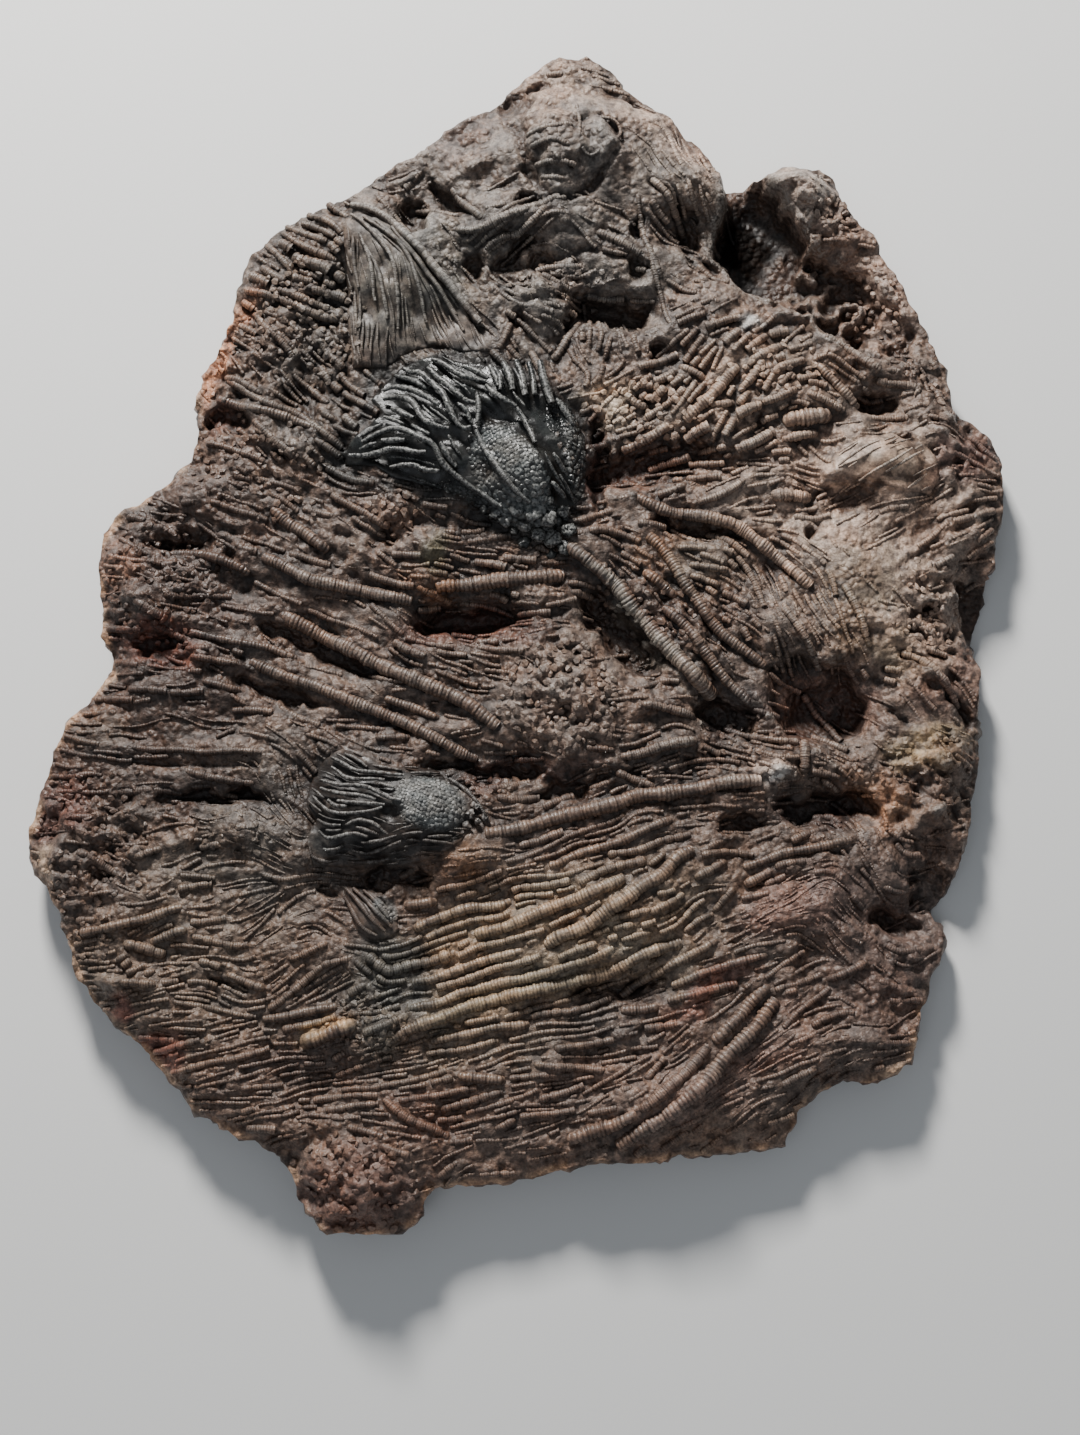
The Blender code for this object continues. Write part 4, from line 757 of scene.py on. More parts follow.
def foot_ring(name):
    """The clockwise ring in plan where a packed crown's walls meet its foot."""
    copy = bmesh.new()
    copy.from_mesh(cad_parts[name].data)
    bmesh.ops.remove_doubles(copy, verts=copy.verts, dist=0.001 * MM)
    beside = {}
    for edge in copy.edges:
        if sum(face.normal.z < -0.5 for face in edge.link_faces) == 1:
            for corner in edge.verts:
                beside.setdefault(corner.index, []).append(edge.other_vert(corner).index)
    ring = [min(beside)]
    while len(ring) < len(beside):
        ring.append(next(k for k in beside[ring[-1]] if k not in ring))
    copy.verts.ensure_lookup_table()
    ring = [(copy.verts[k].co.x / MM + MIDDLE[0], copy.verts[k].co.y / MM + MIDDLE[1]) for k in ring]
    copy.free()
    turns = sum(x1 * y2 - x2 * y1 for (x1, y1), (x2, y2) in zip(ring, ring[1:] + ring[:1]))
    return ring if turns < 0 else ring[::-1]


CROWNS = ("upper_crown", "lower_crown", "top_crown", "worn_crown", "leaf_cup")
CROWN_RINGS = {name: foot_ring(name) for name in CROWNS}
STEMS = {name: stem_line(name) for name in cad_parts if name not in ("matrix", *CROWNS)}
# worn rods that are one with the bed: width, line
RIDGES = [
    (4.0, [(-97, 205), (-87, 200), (-81, 193)]), (4.0, [(-107, 199), (-89, 190)]),
    (4.0, [(-109, 196), (-95, 186), (-84, 180)]), (4.0, [(-117, 191), (-103, 176)]),
    (4.4, [(-113, 168), (-98, 162), (-85, 157)]), (3.6, [(-101, 156), (-93, 151)]),
    (3.6, [(-110, 147), (-103, 139)]), (3.8, [(-118, 100), (-108, 93), (-100, 87)]),
    (3.8, [(-92, 95), (-80, 87)]), (4.6, [(63, 219), (71, 212), (78, 197)]),
    (5.0, [(-27, 195), (-15, 194), (-6, 199), (7, 204), (20, 210)]),
    (4.6, [(-14, 186), (-7, 191), (3, 193), (14, 205)]), (4.4, [(-30, 217), (-23, 208), (-16, 200)]),
    (4.0, [(58, 202), (61, 190), (67, 174)]), (5.0, [(38, 194), (49, 190), (59, 184)]),
    (4.6, [(7, 137), (12, 126), (16, 116)]), (3.6, [(-3, 150), (-8, 139)]),
    (4.4, [(29, 154), (23, 144), (17, 135)]), (3.6, [(76, 130), (86, 124)]),
    (4.6, [(103, 119), (113, 132)]), (5.0, [(108, 133), (122, 139)]), (4.8, [(120, 127), (133, 134)]),
    (4.4, [(113, 113), (128, 119)]), (4.4, [(135, 118), (150, 111)]),
    (4.0, [(84, 67), (95, 70), (105, 77)]), (4.4, [(122, 96), (138, 99)]), (3.8, [(84, 91), (97, 93)]),
    (3.8, [(74, 45), (88, 45)]), (3.8, [(80, 37), (95, 36)]), (5.6, [(-172, 20), (-159, 12)]),
    (3.6, [(-163, 9), (-150, 3)]), (4.0, [(-146, -5), (-126, -8)]), (3.8, [(-141, -17), (-125, -20)]),
    (3.6, [(-175, -46), (-145, -48), (-115, -48)]), (3.6, [(-62, -41), (-48, -41)]),
    (4.4, [(58, -27), (68, -28), (80, -32)]), (5.6, [(48, -50), (62, -47), (80, -43)]),
    (4.4, [(46, -57), (62, -64)]), (4.0, [(-170, -96), (-159, -92)]), (3.8, [(60, -120), (74, -112)]),
    (3.8, [(89, -119), (98, -109)]), (4.6, [(80, -105), (94, -98)]),
    (4.4, [(-33, -207), (-20, -203), (-6, -199)]), (4.4, [(-57, -202), (-48, -211), (-30, -219)]),
    (4.2, [(18, -180), (45, -176)]), (4.0, [(-118, -62), (-135, -60), (-150, -56)]),
    (4.0, [(10, -187), (40, -190)]), (4.6, [(176, -2), (190, -9), (202, -26)]),
    (4.2, [(122, 18), (132, 2), (138, -10)]), (4.2, [(150, 28), (158, 12), (160, 0)]),
    (4.2, [(-128, -148), (-112, -154)]), (4.2, [(-176, -150), (-160, -152)]),
    (4.2, [(140, -150), (156, -143)]), (4.2, [(118, -196), (132, -189)]),
    (4.0, [(-100, -141), (-84, -134)]),
]
# and the lesser ones among them
LESSER = [
    (4.0, [(-88, 210), (-83, 205), (-78, 201)]), (3.2, [(-90, 144), (-83, 135)]),
    (3.4, [(-89, 109), (-83, 105)]), (2.4, [(74, 217), (77, 210), (79, 203)]),
    (2.4, [(79, 219), (81, 211), (85, 204)]), (2.4, [(84, 217), (87, 209), (90, 201)]),
    (2.6, [(88, 214), (91, 207), (94, 203)]), (2.2, [(68, 222), (72, 215), (75, 208)]),
    (2.6, [(31, 165), (32, 157)]), (3.0, [(34, 155), (34, 141)]), (3.0, [(38, 154), (40, 147), (38, 139)]),
    (3.0, [(46, 150), (43, 142), (41, 135)]), (3.0, [(5, 130), (8, 119)]),
    (4.0, [(52, 117), (55, 113), (60, 112)]), (4.4, [(90, 112), (99, 113)]),
    (4.0, [(102, 112), (106, 117)]), (5.4, [(140, 146), (150, 142), (160, 135), (166, 130)]),
    (7.0, [(119, 70), (126, 70.5), (133, 70)]), (3.6, [(80, 32), (92, 29)]), (3.0, [(122, 20), (130, 5)]),
    (2.6, [(117, 14), (123, -2), (127, -14)]), (2.4, [(146, 22), (150, 8), (153, -4)]),
    (2.4, [(126, 27), (132, 14)]), (3.2, [(34, -64), (43, -61)]), (5.6, [(132, -43), (131, -56)]),
    (4.0, [(-44, 27), (-38, 24), (-30, 21)]), (3.2, [(-25, 21), (-15, 20), (-8, 18), (0, 15)]),
    (3.0, [(-67, -13), (-60, -16), (-50, -17)]), (3.6, [(42, -124), (52, -121), (60, -119)]),
    (3.4, [(44, -128), (53, -126)]), (3.4, [(48, -133), (60, -129)]),
    (3.4, [(75, -128), (82, -124), (88, -121)]), (5.2, [(104, -107), (113, -102)]),
    (3.4, [(60, -99), (66, -95)]), (4.4, [(-26, -113.5), (-17, -110.5)]),
    (3.4, [(-40, -183), (-30, -182), (-20, -180), (-8, -177)]), (3.6, [(0, -212), (-8, -215)]),
    (5.4, [(-173, -134), (-157, -139)]), (1.9, [(-107, -56), (-104, -62), (-102, -68)]),
    (1.9, [(-103, -54), (-101, -61), (-98, -69)]), (1.9, [(-99, -54), (-98, -61), (-95, -69)]),
    (4.6, [(-127, 169), (-114, 165), (-101, 159), (-90, 154), (-81, 153)]),
    (4.0, [(-121, 157), (-111, 146), (-104, 136)]), (4.2, [(-91, 144), (-85, 136), (-80, 131)]),
    (4.4, [(-133, 125), (-118, 114), (-100, 108), (-89, 99), (-80, 92)]),
    (4.0, [(-120, 105), (-111, 95), (-101, 86)]), (4.2, [(-134, 127), (-126, 123), (-118, 118)]),
    (6.2, [(56, -206), (66, -199), (75, -191), (85, -180)]),
    (3.2, [(-19, 187), (-6, 196), (9, 208), (23, 209)]),
    (2.8, [(-16, 183), (0, 193), (16, 203), (24, 201)]), (2.4, [(-8, 180), (6, 191), (18, 200)]),
    (2.6, [(-22, 190), (-11, 198), (2, 209), (11, 212)]),
    (3.0, [(56, 212), (60, 196), (64, 178), (68, 160), (73, 148)]), (3.4, [(5, 239), (18, 241), (25, 242)]),
    (3.4, [(7, 233), (18, 235), (25, 231)]), (3.2, [(9, 225), (20, 225), (27, 223)]),
    (2.8, [(12, 219), (23, 217)]),
    (2.2, [(29, 254), (28, 235), (33, 226), (42, 231), (49, 239), (47, 246), (38, 247)]),
    (1.9, [(-112, -58), (-110, -64), (-108, -70)]), (1.9, [(-96, -72), (-93, -78), (-90, -82)]),
]
# the ground that rods and crowns have claimed, by number, and the rods' tops, on a grid of half mm
FINE = 2
taken = np.zeros((ROWS * FINE, COLUMNS * FINE), np.int32)
tops = np.full(taken.shape, -1.0, np.float32)
smooth_bed = blur(bed, 2.6)
fine_x, fine_y = np.meshgrid(LEFT + np.arange(COLUMNS * FINE) / FINE, FOOT + np.arange(ROWS * FINE) / FINE)
for number, ring in enumerate(CROWN_RINGS.values(), start=1):
    taken[inside(fine_x, fine_y, ring)] = -number
laid = []                                 # each line: its places, half width, share standing proud, group


def spread(line, step):
    """A line cut into even steps, rounded at its corners."""
    line = np.array(line, float)
    for _ in range(2 if len(line) > 2 else 0):
        cut = np.empty((2 * len(line) - 2, 2))
        cut[0::2] = 0.75 * line[:-1] + 0.25 * line[1:]
        cut[1::2] = 0.25 * line[:-1] + 0.75 * line[1:]
        line = np.vstack([line[:1], cut, line[-1:]])
    run = np.concatenate([[0], np.cumsum(np.hypot(*np.diff(line, axis=0).T))])
    count = max(2, int(run[-1] / step) + 1)
    marks = np.linspace(0, run[-1], count)
    return np.column_stack([np.interp(marks, run, line[:, k]) for k in (0, 1)])


def cell(x, y):
    """The row and column of the claimed ground at a place."""
    return int((y - FOOT) * FINE), int((x - LEFT) * FINE)


def cells_round(x, y, reach):
    """The rows and columns of the claimed ground for so many cells each way from a place."""
    j, i = cell(x, y)
    return slice(max(0, j - reach), j + reach + 1), slice(max(0, i - reach), i + reach + 1)


def mark(points, half, number):
    """Claims the ground under a rod."""
    for x, y in points:
        taken[cells_round(x, y, max(1, int(round(half * FINE))))] = number


def lay(points, half, proud, group, ground=smooth_bed, taper=0.0, sunk=0.0):
    """Puts a line on the ground as a rod: three coordinates and a half width at each place.

    Proud is the share of the rod over the ground. It tapers towards its ends and sinks there.
    """
    x, y = points.T
    points = points + np.column_stack([waves(x, y, 13.0, 115), waves(x, y, 13.0, 116)])
    x, y = points.T
    z = at(ground, x, y)
    width = max(1, int(4 / max(0.6, np.hypot(*np.diff(points[:2], axis=0)[0]))))
    padded = np.concatenate([[z[0]] * width, z, [z[-1]] * width])
    z = np.convolve(padded, np.ones(2 * width + 1) / (2 * width + 1), "valid")
    z = z + (2 * proud - 1) * half + 0.30 * half * waves(x, y, 9.0, 111 + len(laid) % 9)
    ends = np.minimum(np.arange(len(points)), np.arange(len(points))[::-1]) / (0.35 * len(points))
    halves = half * (1 - taper * (1 - np.clip(ends, 0, 1)))
    z = z - sunk * half * (1 - np.clip(ends * 3, 0, 1)) ** 2
    halves = halves * (1 + 0.13 * waves(x, y, 6.0, 112) + 0.08 * waves(x, y, 2.6, 113))
    z = np.minimum(z, cad_high.z / MM - 0.3 - 1.25 * halves)
    laid.append((np.column_stack([points, z]), halves, group))
    for (px, py), pz in zip(points, z):
        patch = tops[cells_round(px, py, max(1, int(half * 1.6)))]
        np.maximum(patch, pz + 0.6 * half, out=patch)


# stems stand a little more proud of the bed than the worn rods
for number, (name, (thick, line)) in enumerate(STEMS.items(), start=1):
    points = spread(line, 1.0)
    mark(points, 0.46 * thick, number)
    lay(points, 0.46 * thick, 0.66, name, taper=0.12, sunk=0.7)
for width, line in RIDGES + LESSER:
    points = spread(line, 1.0)
    mark(points, 0.42 * width, len(laid) + 1)
    lay(points, 0.50 * width, 0.62, "worn", taper=0.15, sunk=0.6)

# how the broken rods lie: place, half sizes, turn, thickness, length, cover, stray in degrees, proud
FIELDS = [
    (-100, 10, 95, 62, -10, 3.0, 22, 0.30, 10, 0.48), (-185, -105, 40, 54, 0, 3.0, 20, 0.28, 10, 0.46),
    (95, 115, 60, 34, 22, 4.6, 17, 1.0, 11, 0.76), (-100, 182, 28, 34, -40, 5.6, 26, 1.0, 4, 0.80),
    (-104, 112, 34, 44, -38, 4.2, 22, 0.42, 8, 0.66), (8, -142, 82, 44, 17, 4.6, 70, 1.0, 2, 0.74),
    (-12, -194, 62, 28, 8, 3.6, 42, 0.95, 4, 0.60), (-108, -178, 64, 36, 10, 3.1, 28, 0.86, 7, 0.58),
    (-168, -142, 42, 24, 8, 3.3, 22, 0.72, 8, 0.58), (-112, -72, 24, 22, -40, 1.7, 26, 0.60, 4, 0.40),
    (-95, -116, 32, 34, 15, 2.1, 34, 0.42, 6, 0.40), (130, 20, 18, 30, 8, 2.2, 34, 0.70, 4, 0.42),
    (170, 50, 30, 30, 0, 2.4, 20, 0.30, 8, 0.4), (185, 15, 26, 38, 0, 3.0, 10, 0.25, 30, 0.50),
    (180, -58, 24, 32, 0, 3.0, 12, 0.25, 28, 0.50), (128, -120, 28, 22, 10, 1.8, 34, 0.70, 5, 0.36),
    (168, -150, 30, 38, 0, 2.7, 20, 0.35, 14, 0.42), (102, -184, 34, 30, 42, 2.4, 44, 0.60, 3, 0.36),
    (170, 82, 32, 18, 5, 2.2, 30, 0.45, 5, 0.32), (20, 236, 60, 34, 0, 2.0, 20, 0.10, 10, 0.28),
    (-20, 232, 30, 24, 0, 2.6, 16, 0.12, 10, 0.4), (82, 222, 24, 20, -50, 2.6, 30, 0.75, 4, 0.46),
    (15, 184, 56, 24, 0, 2.8, 22, 0.30, 12, 0.48), (130, 215, 30, 18, 0, 2.8, 8, 0.12, 40, 0.40),
    (135, 172, 44, 24, 0, 2.8, 8, 0.12, 40, 0.40), (78, 26, 42, 38, -40, 3.0, 18, 0.60, 8, 0.60),
    (84, 42, 24, 18, -10, 3.6, 18, 0.92, 6, 0.64), (20, -22, 30, 28, 0, 2.8, 8, 0.12, 50, 0.50),
    (-22, 22, 34, 30, 0, 3.2, 16, 0.92, 7, 0.64), (-32, -8, 22, 22, -10, 3.2, 16, 0.80, 8, 0.62),
    (92, -54, 60, 18, 8, 3.6, 26, 0.80, 8, 0.56), (-72, -240, 38, 26, 0, 2.6, 8, 0.10, 40, 0.50),
    (32, -90, 62, 15, 16, 3.2, 36, 0.85, 5, 0.56), (38, 152, 17, 20, -75, 2.8, 20, 0.95, 4, 0.64),
    (-160, -50, 44, 26, 0, 3.4, 30, 0.24, 6, 0.46), (-150, 90, 20, 20, 0, 2.8, 8, 0.2, 30, 0.5),
]
ELSEWHERE = (3.0, 20.0, 0.42, 9.0, 0.5)
facts = [np.full(grid_x.shape, v) for v in ELSEWHERE]
for *place, thick, length, cover, stray, proud in FIELDS:
    share = ellipse(grid_x, grid_y, *place, 0.55, 1.2)
    facts = over(facts, share, (thick, length, cover, stray, proud))
dice = np.random.default_rng(7)
# how far a place lies under the mean of what is round it, where no rods lie
deep = np.maximum(blur(bed, 9.0) - blur(bed, 2.0), 0.4 * hollow)


def free(x, y, side_x, side_y, half, home):
    """True where a rod's middle and both sides are over unclaimed ground."""
    return all(taken[cell(x + share * half * side_x, y + share * half * side_y)] == home
               for share in (0.0, 0.8, -0.8))


def strew(spacing, facts, group, shortest=0.0, home=0, ground=smooth_bed, within=OUTLINE, taper=0.0):
    """Lays broken rods side by side along the grain until their ground is covered."""
    stride, most_turn, from_rim, deepest, least = 1.2, 0.22, 2.4, 1.7, 3.6   # mm and radians
    low, high = np.min(within, 0), np.max(within, 0)
    seeds = np.meshgrid(np.arange(low[0], high[0], spacing), np.arange(low[1], high[1], spacing))
    seeds = np.stack(seeds, -1).reshape(-1, 2)
    seeds = seeds + dice.uniform(-0.5, 0.5, seeds.shape) * spacing
    seeds = seeds[inside(*seeds.T, within) & (at(rim_off, *seeds.T) > from_rim)]
    seeds = seeds[dice.permutation(len(seeds))]
    known = np.column_stack([at(f, *seeds.T) if isinstance(f, np.ndarray) else np.full(len(seeds), f)
                             for f in (*facts, deep)])
    chances = dice.uniform(0, 1, (len(seeds), 5))
    for (x, y), (thick, length, cover, stray, proud, hole), chance in zip(seeds, known, chances):
        if chance[0] > cover ** 3 or (hole > deepest and home == 0):
            continue
        half = 0.5 * thick * (0.55 + 0.85 * chance[1] ** 1.6)
        bend = math.radians(stray) * (chance[2] * 2 - 1) * 1.7
        reach = length * (0.25 + 1.5 * chance[3] ** 1.3) * 0.5
        arms = []
        for side in (1, -1):
            px, py, arm = x, y, []
            way = float(at(grain, x, y)) + bend + (math.pi if side < 0 else 0)
            for _ in range(max(2, int(reach / stride))):
                dx, dy = math.cos(way), math.sin(way)
                if not free(px, py, -dy, dx, half, home) or at(rim_off, px, py) < half + 0.6:
                    break
                arm.append((px, py))
                px, py = px + stride * dx, py + stride * dy
                here = float(at(grain, px, py)) + bend
                here += math.pi * round((way - here) / math.pi)
                way = way + max(-most_turn, min(most_turn, here - way))
            arms.append(arm)
        line = arms[1][::-1] + arms[0][1:]
        if len(line) * stride < max(least, 2.2 * half, shortest * length):
            continue
        line = np.array(line)
        mark(line, 0.72 * half, len(laid) + 1)
        lay(line, half, proud + 0.26 * (chance[4] - 0.5), group, ground, taper, 0.15 + 0.6 * taper)


# the long ones first, then what fits between them
strew(3.0, facts, "broken", 0.55)
strew(2.6, facts, "broken", 0.22)
strew(2.0, [0.72 * facts[0], *facts[1:]], "broken")


def open_tree(name, inputs):
    """A geometry tree whose inputs are named: the tree, its adder, and what its inputs give."""
    tree = bpy.data.node_groups.new(name, "GeometryNodeTree")
    for label, kind in (("Geometry", "Geometry"), *inputs,
                        ("Roughness", "Float"), ("Seed", "Int"), ("Material", "Material")):
        tree.interface.new_socket(label, in_out="INPUT", socket_type="NodeSocket" + kind)
    tree.interface.new_socket("Geometry", in_out="OUTPUT", socket_type="NodeSocketGeometry")
    return tree, adder(tree), tree.nodes.new("NodeGroupInput").outputs


def close_tree(tree, add, given, mesh, noise_scale, smooth):
    """Ends a geometry tree: its mesh made real, worn uneven, shaded and given its material."""
    place = add("GeometryNodeInputPosition")
    noise = add("ShaderNodeTexNoise", {"Vector": place, "Scale": noise_scale}, "Color")
    push = add("ShaderNodeVectorMath", {0: noise, 1: (0.5, 0.5, 0.5)}, operation="SUBTRACT")
    push = add("ShaderNodeVectorMath", {0: push, "Scale": given["Roughness"]}, operation="SCALE")
    mesh = add("GeometryNodeRealizeInstances", {0: mesh})
    mesh = add("GeometryNodeSetPosition", {"Geometry": mesh, "Offset": push})
    mesh = add("GeometryNodeSetShadeSmooth", {0: mesh, "Shade Smooth": smooth})
    mesh = add("GeometryNodeSetMaterial", {0: mesh, "Material": given["Material"]})
    tree.links.new(mesh, tree.nodes.new("NodeGroupOutput").inputs[0])
    return tree


def ringed_tree():
    """Lines to ringed tubes: every few places along a line its half width dips into a joint."""
    tree, add, given = open_tree("ringed_rods", (
        ("Step", "Float"), ("Steps in a ring", "Int"), ("Joint depth", "Float"), ("Break depth", "Float"),
        ("Sides", "Int"), ("Marks", "Float")))
    sums = sums_of(add)
    line = {"Curve": given["Geometry"], "Length": given["Step"]}
    line = add("GeometryNodeResampleCurve", line, mode="LENGTH")
    index = add("GeometryNodeSplineParameter", out="Index")
    curve = add("GeometryNodeCurveOfPoint", out="Curve Index")
    ring = sums("FLOOR", sums("DIVIDE", index, given["Steps in a ring"]))
    chance = add("FunctionNodeRandomValue", {"ID": sums("ADD", sums("MULTIPLY", curve, 97.0), ring),
                                             "Seed": given["Seed"]}, 1, data_type="FLOAT")
    joint = sums("LESS_THAN", sums("MODULO", index, given["Steps in a ring"]), 0.5)
    broken = sums("MULTIPLY", joint, sums("GREATER_THAN", chance, 0.74))
    depth = sums("MULTIPLY", joint, given["Joint depth"])
    depth = sums("ADD", depth, sums("MULTIPLY", broken, given["Break depth"]))
    swell = sums("MULTIPLY", sums("SUBTRACT", chance, 0.5), 0.13)
    # each line's own run of numbers tells the stone's rings and blocks apart from the next line's
    run = sums("MULTIPLY", sums("MODULO", curve, 61.0), 40.0)
    number = sums("ADD", sums("MULTIPLY", index, given["Marks"]), run)
    line = add("GeometryNodeStoreNamedAttribute", {"Geometry": line, "Name": "rings", "Value": number},
               data_type="FLOAT", domain="POINT")
    round_of = add("GeometryNodeCurvePrimitiveCircle", {"Radius": 1.0, "Resolution": given["Sides"]})
    width = sums("ADD", sums("SUBTRACT", 1.0, depth), swell)
    width = sums("MULTIPLY", add("GeometryNodeInputRadius"), width)
    tube = add("GeometryNodeCurveToMesh", {"Curve": line, "Profile Curve": round_of, "Scale": width,
                                           "Fill Caps": True})
    return close_tree(tree, add, given, tube, 420.0, True)


def grown(thing, tree, values):
    """The plain mesh object that a node tree makes of a thing, which is then removed."""
    sockets = {s.name: s.identifier for s in tree.interface.items_tree if s.in_out == "INPUT"}
    live = thing.modifiers.new("grown", "NODES")
    live.node_group = tree
    for name, value in values.items():
        live[sockets[name]] = value
    bpy.context.view_layer.update()
    graph = bpy.context.evaluated_depsgraph_get()
    mesh = bpy.data.meshes.new_from_object(thing.evaluated_get(graph), depsgraph=graph)
    name, data = thing.name, thing.data
    thing.modifiers.clear()
    bpy.data.objects.remove(thing)
    (bpy.data.curves if isinstance(data, bpy.types.Curve) else bpy.data.meshes).remove(data)
    mesh.name = name
    return shown(name, mesh)


def as_curves(name, rods):
    """Lines in mm with their half widths, as one curve object."""
    curves = bpy.data.curves.new(name, "CURVE")
    curves.dimensions = "3D"
    for places, half, _ in rods:
        spline = curves.splines.new("POLY")
        spline.points.add(len(places) - 1)
        spline.points.foreach_set("co", np.column_stack([in_world(places), np.ones(len(places))]).ravel())
        spline.points.foreach_set("radius", half * MM)
    return shown(name, curves)


RINGED = ringed_tree()
# The crowns: five sea lilies pressed flat. Each is a crust of dark calcite with its arms fanned out to
# the left over it, and a cup of small plates at the root of the arms, largest where the stem begins.
# the arms that can be followed: crown, thickness, lines
ARMS = {
    "upper_crown": (3.0, [
        [(-52, 128), (-49, 125.5), (-44, 125), (-40, 121), (-34, 115), (-30.5, 107.5), (-27, 99.5),
         (-23.5, 96), (-20, 97)],
        [(-40, 127), (-36, 122.5), (-30, 117), (-23.5, 110), (-18, 108)],
        [(-38, 132), (-32, 128.5), (-27, 125), (-22, 122), (-13.5, 119.5)],
        [(-23, 128.5), (-17.5, 126), (-12.5, 121.5)],
        [(-61, 117), (-56, 118.5), (-49.5, 117), (-43, 113.5), (-35, 108.5)],
        [(-61, 112.5), (-54.5, 113), (-48, 111), (-45, 108), (-42.5, 103), (-38.5, 100), (-30, 97)],
        [(-57, 108), (-52, 106), (-46, 103)],
        [(-70, 93), (-67, 95), (-60.5, 98), (-53, 99), (-48, 96.5), (-43.5, 93), (-38, 91.5), (-34.5, 87.5),
         (-33, 82.5), (-29.5, 78.5), (-21.5, 72.5), (-15, 69), (-6, 63)],
        [(-33, 91), (-30.5, 85.5), (-26.5, 80)], [(-60.5, 93), (-50.5, 93)],
        [(-76, 87), (-70, 86.5), (-62, 87), (-57, 89), (-51.5, 88.5), (-46, 86.5), (-40, 87)],
        [(-57, 80.5), (-51.5, 81.5), (-45.5, 81), (-43, 79), (-34, 78.5)],
        [(-10, 128), (-7, 122.5), (-7, 115)], [(-6, 127), (-4, 124), (-1, 118)],
        [(-1, 127), (2, 122), (5, 114)], [(-13.5, 117.5), (-9.5, 112.5), (-4.5, 110), (1, 107.5)],
        [(-17, 113), (-16.5, 106), (-17.5, 99)], [(-18, 96), (-14, 88), (-9, 80), (-2, 71), (6, 63)],
        [(1, 107), (6, 99), (9, 90)], [(18, 114), (22, 108), (26, 102)],
    ]),
    "lower_crown": (2.1, [
        [(-83, -51), (-78, -53), (-74, -56), (-68, -58), (-60, -59), (-50, -59.5)],
        [(-77, -49), (-72, -51), (-66, -56)],
        [(-83, -55), (-80, -57), (-76, -60.5), (-68, -61.5), (-58, -62)],
        [(-88, -61), (-84, -62), (-78, -64), (-70, -64), (-64, -66), (-58, -70), (-50, -71)],
        [(-88, -64.5), (-82, -66.5), (-76, -68), (-68, -69), (-62, -71)],
        [(-79, -71), (-72, -72.5), (-58, -73)],
        [(-91, -68), (-87, -73), (-82, -77), (-75, -78), (-65, -76), (-59, -74)],
        [(-76, -83), (-70, -80), (-62, -80), (-56, -86)],
        [(-88, -85), (-84, -88), (-80, -88), (-72, -86), (-65, -87)],
        [(-72, -93), (-66, -95), (-60, -93), (-50, -90)],
        [(-91, -91), (-90, -95), (-84, -97.5), (-78, -97)], [(-84, -70), (-80, -74), (-74, -74)],
        [(-89, -80), (-84, -83), (-78, -83)], [(-85, -92), (-80, -93), (-76, -91)],
        [(-68, -90), (-60, -89), (-52, -87)], [(-74, -98), (-66, -98.5), (-56, -97)],
    ]),
    "top_crown": (2.3, [
        [(-77, 202), (-68, 195), (-57, 182), (-54, 163), (-54, 146)], [(-75, 191), (-73, 166)],
        [(-72, 192), (-66, 178), (-65, 159)], [(-65, 198), (-54, 189), (-46, 171), (-41, 150)],
        [(-57, 195), (-42, 174), (-30, 156), (-24, 146)],
        [(-71, 200), (-60, 193), (-50, 184), (-38, 168), (-28, 154)], [(-69, 186), (-61, 170), (-60, 150)],
    ]),
    "worn_crown": (1.5, [[(156, 76), (168, 82), (180, 90)], [(147, 83), (158, 90), (166, 94)]]),
    "leaf_cup": (2.4, [
        [(-75, -110), (-70, -116), (-64, -124), (-58, -129)],
        [(-72, -110), (-66, -116), (-60, -122), (-55, -127)],
        [(-76, -114), (-73, -121), (-68, -128), (-62, -131)], [(-68, -111), (-62, -116), (-56, -123)],
    ]),
}
# cups of plates: crown, place, half sizes, turn, size of a plate at the arms and at the stem, stem's place
CUPS = [
    ("upper_crown", (-3, 77, 29, 17, 119), 2.4, 5.6, (15, 52)),
    ("upper_crown", (-20, 63, 21, 9, -24), 2.0, 3.4, (6, 54)),
    ("upper_crown", (27, 86, 25, 5.5, 100), 2.6, 5.0, (19, 58)),
    ("upper_crown", (21, 105, 9, 11, 0), 1.7, 2.2, (28, 100)),
    ("upper_crown", (14, 58, 10, 9, 0), 4.4, 5.6, (16, 52)),
    ("lower_crown", (-38, -72, 19, 14, -15), 2.0, 3.6, (-20, -80)),
    ("leaf_cup", (-58, -119, 7, 5, -50), 2.0, 2.0, (-56, -118)),
]
# what fills a crown between its traced arms: thickness, length, cover, stray, proud
FILL = {"upper_crown": (2.4, 30.0, 1.0, 5.0, 0.56), "lower_crown": (1.8, 24.0, 1.0, 6.0, 0.55),
        "top_crown": (1.6, 34.0, 0.84, 6.0, 0.28), "worn_crown": (1.3, 18.0, 0.4, 5.0, 0.24),
        "leaf_cup": (1.8, 30.0, 0.9, 3.0, 0.4)}
# thick strands that cross a crown: crown, thickness, line
STRANDS = [
    ("upper_crown", 3.8, [(-6, 131), (-3, 124), (-1, 116)]),
    ("upper_crown", 3.6, [(0, 132), (3, 123), (5, 114)]),
    ("upper_crown", 3.2, [(6, 131), (8, 123), (9, 115)]),
    ("upper_crown", 4.4, [(11, 132), (13, 122), (16, 111)]),
    ("upper_crown", 3.0, [(-12, 129), (-9, 122), (-8, 117)]),
    ("top_crown", 4.6, [(-77, 207), (-61, 202), (-46, 186), (-31, 167), (-17, 150)]),
    ("lower_crown", 2.2, [(-30, -60), (-22, -66), (-16, -73), (-12, -80)]),
]
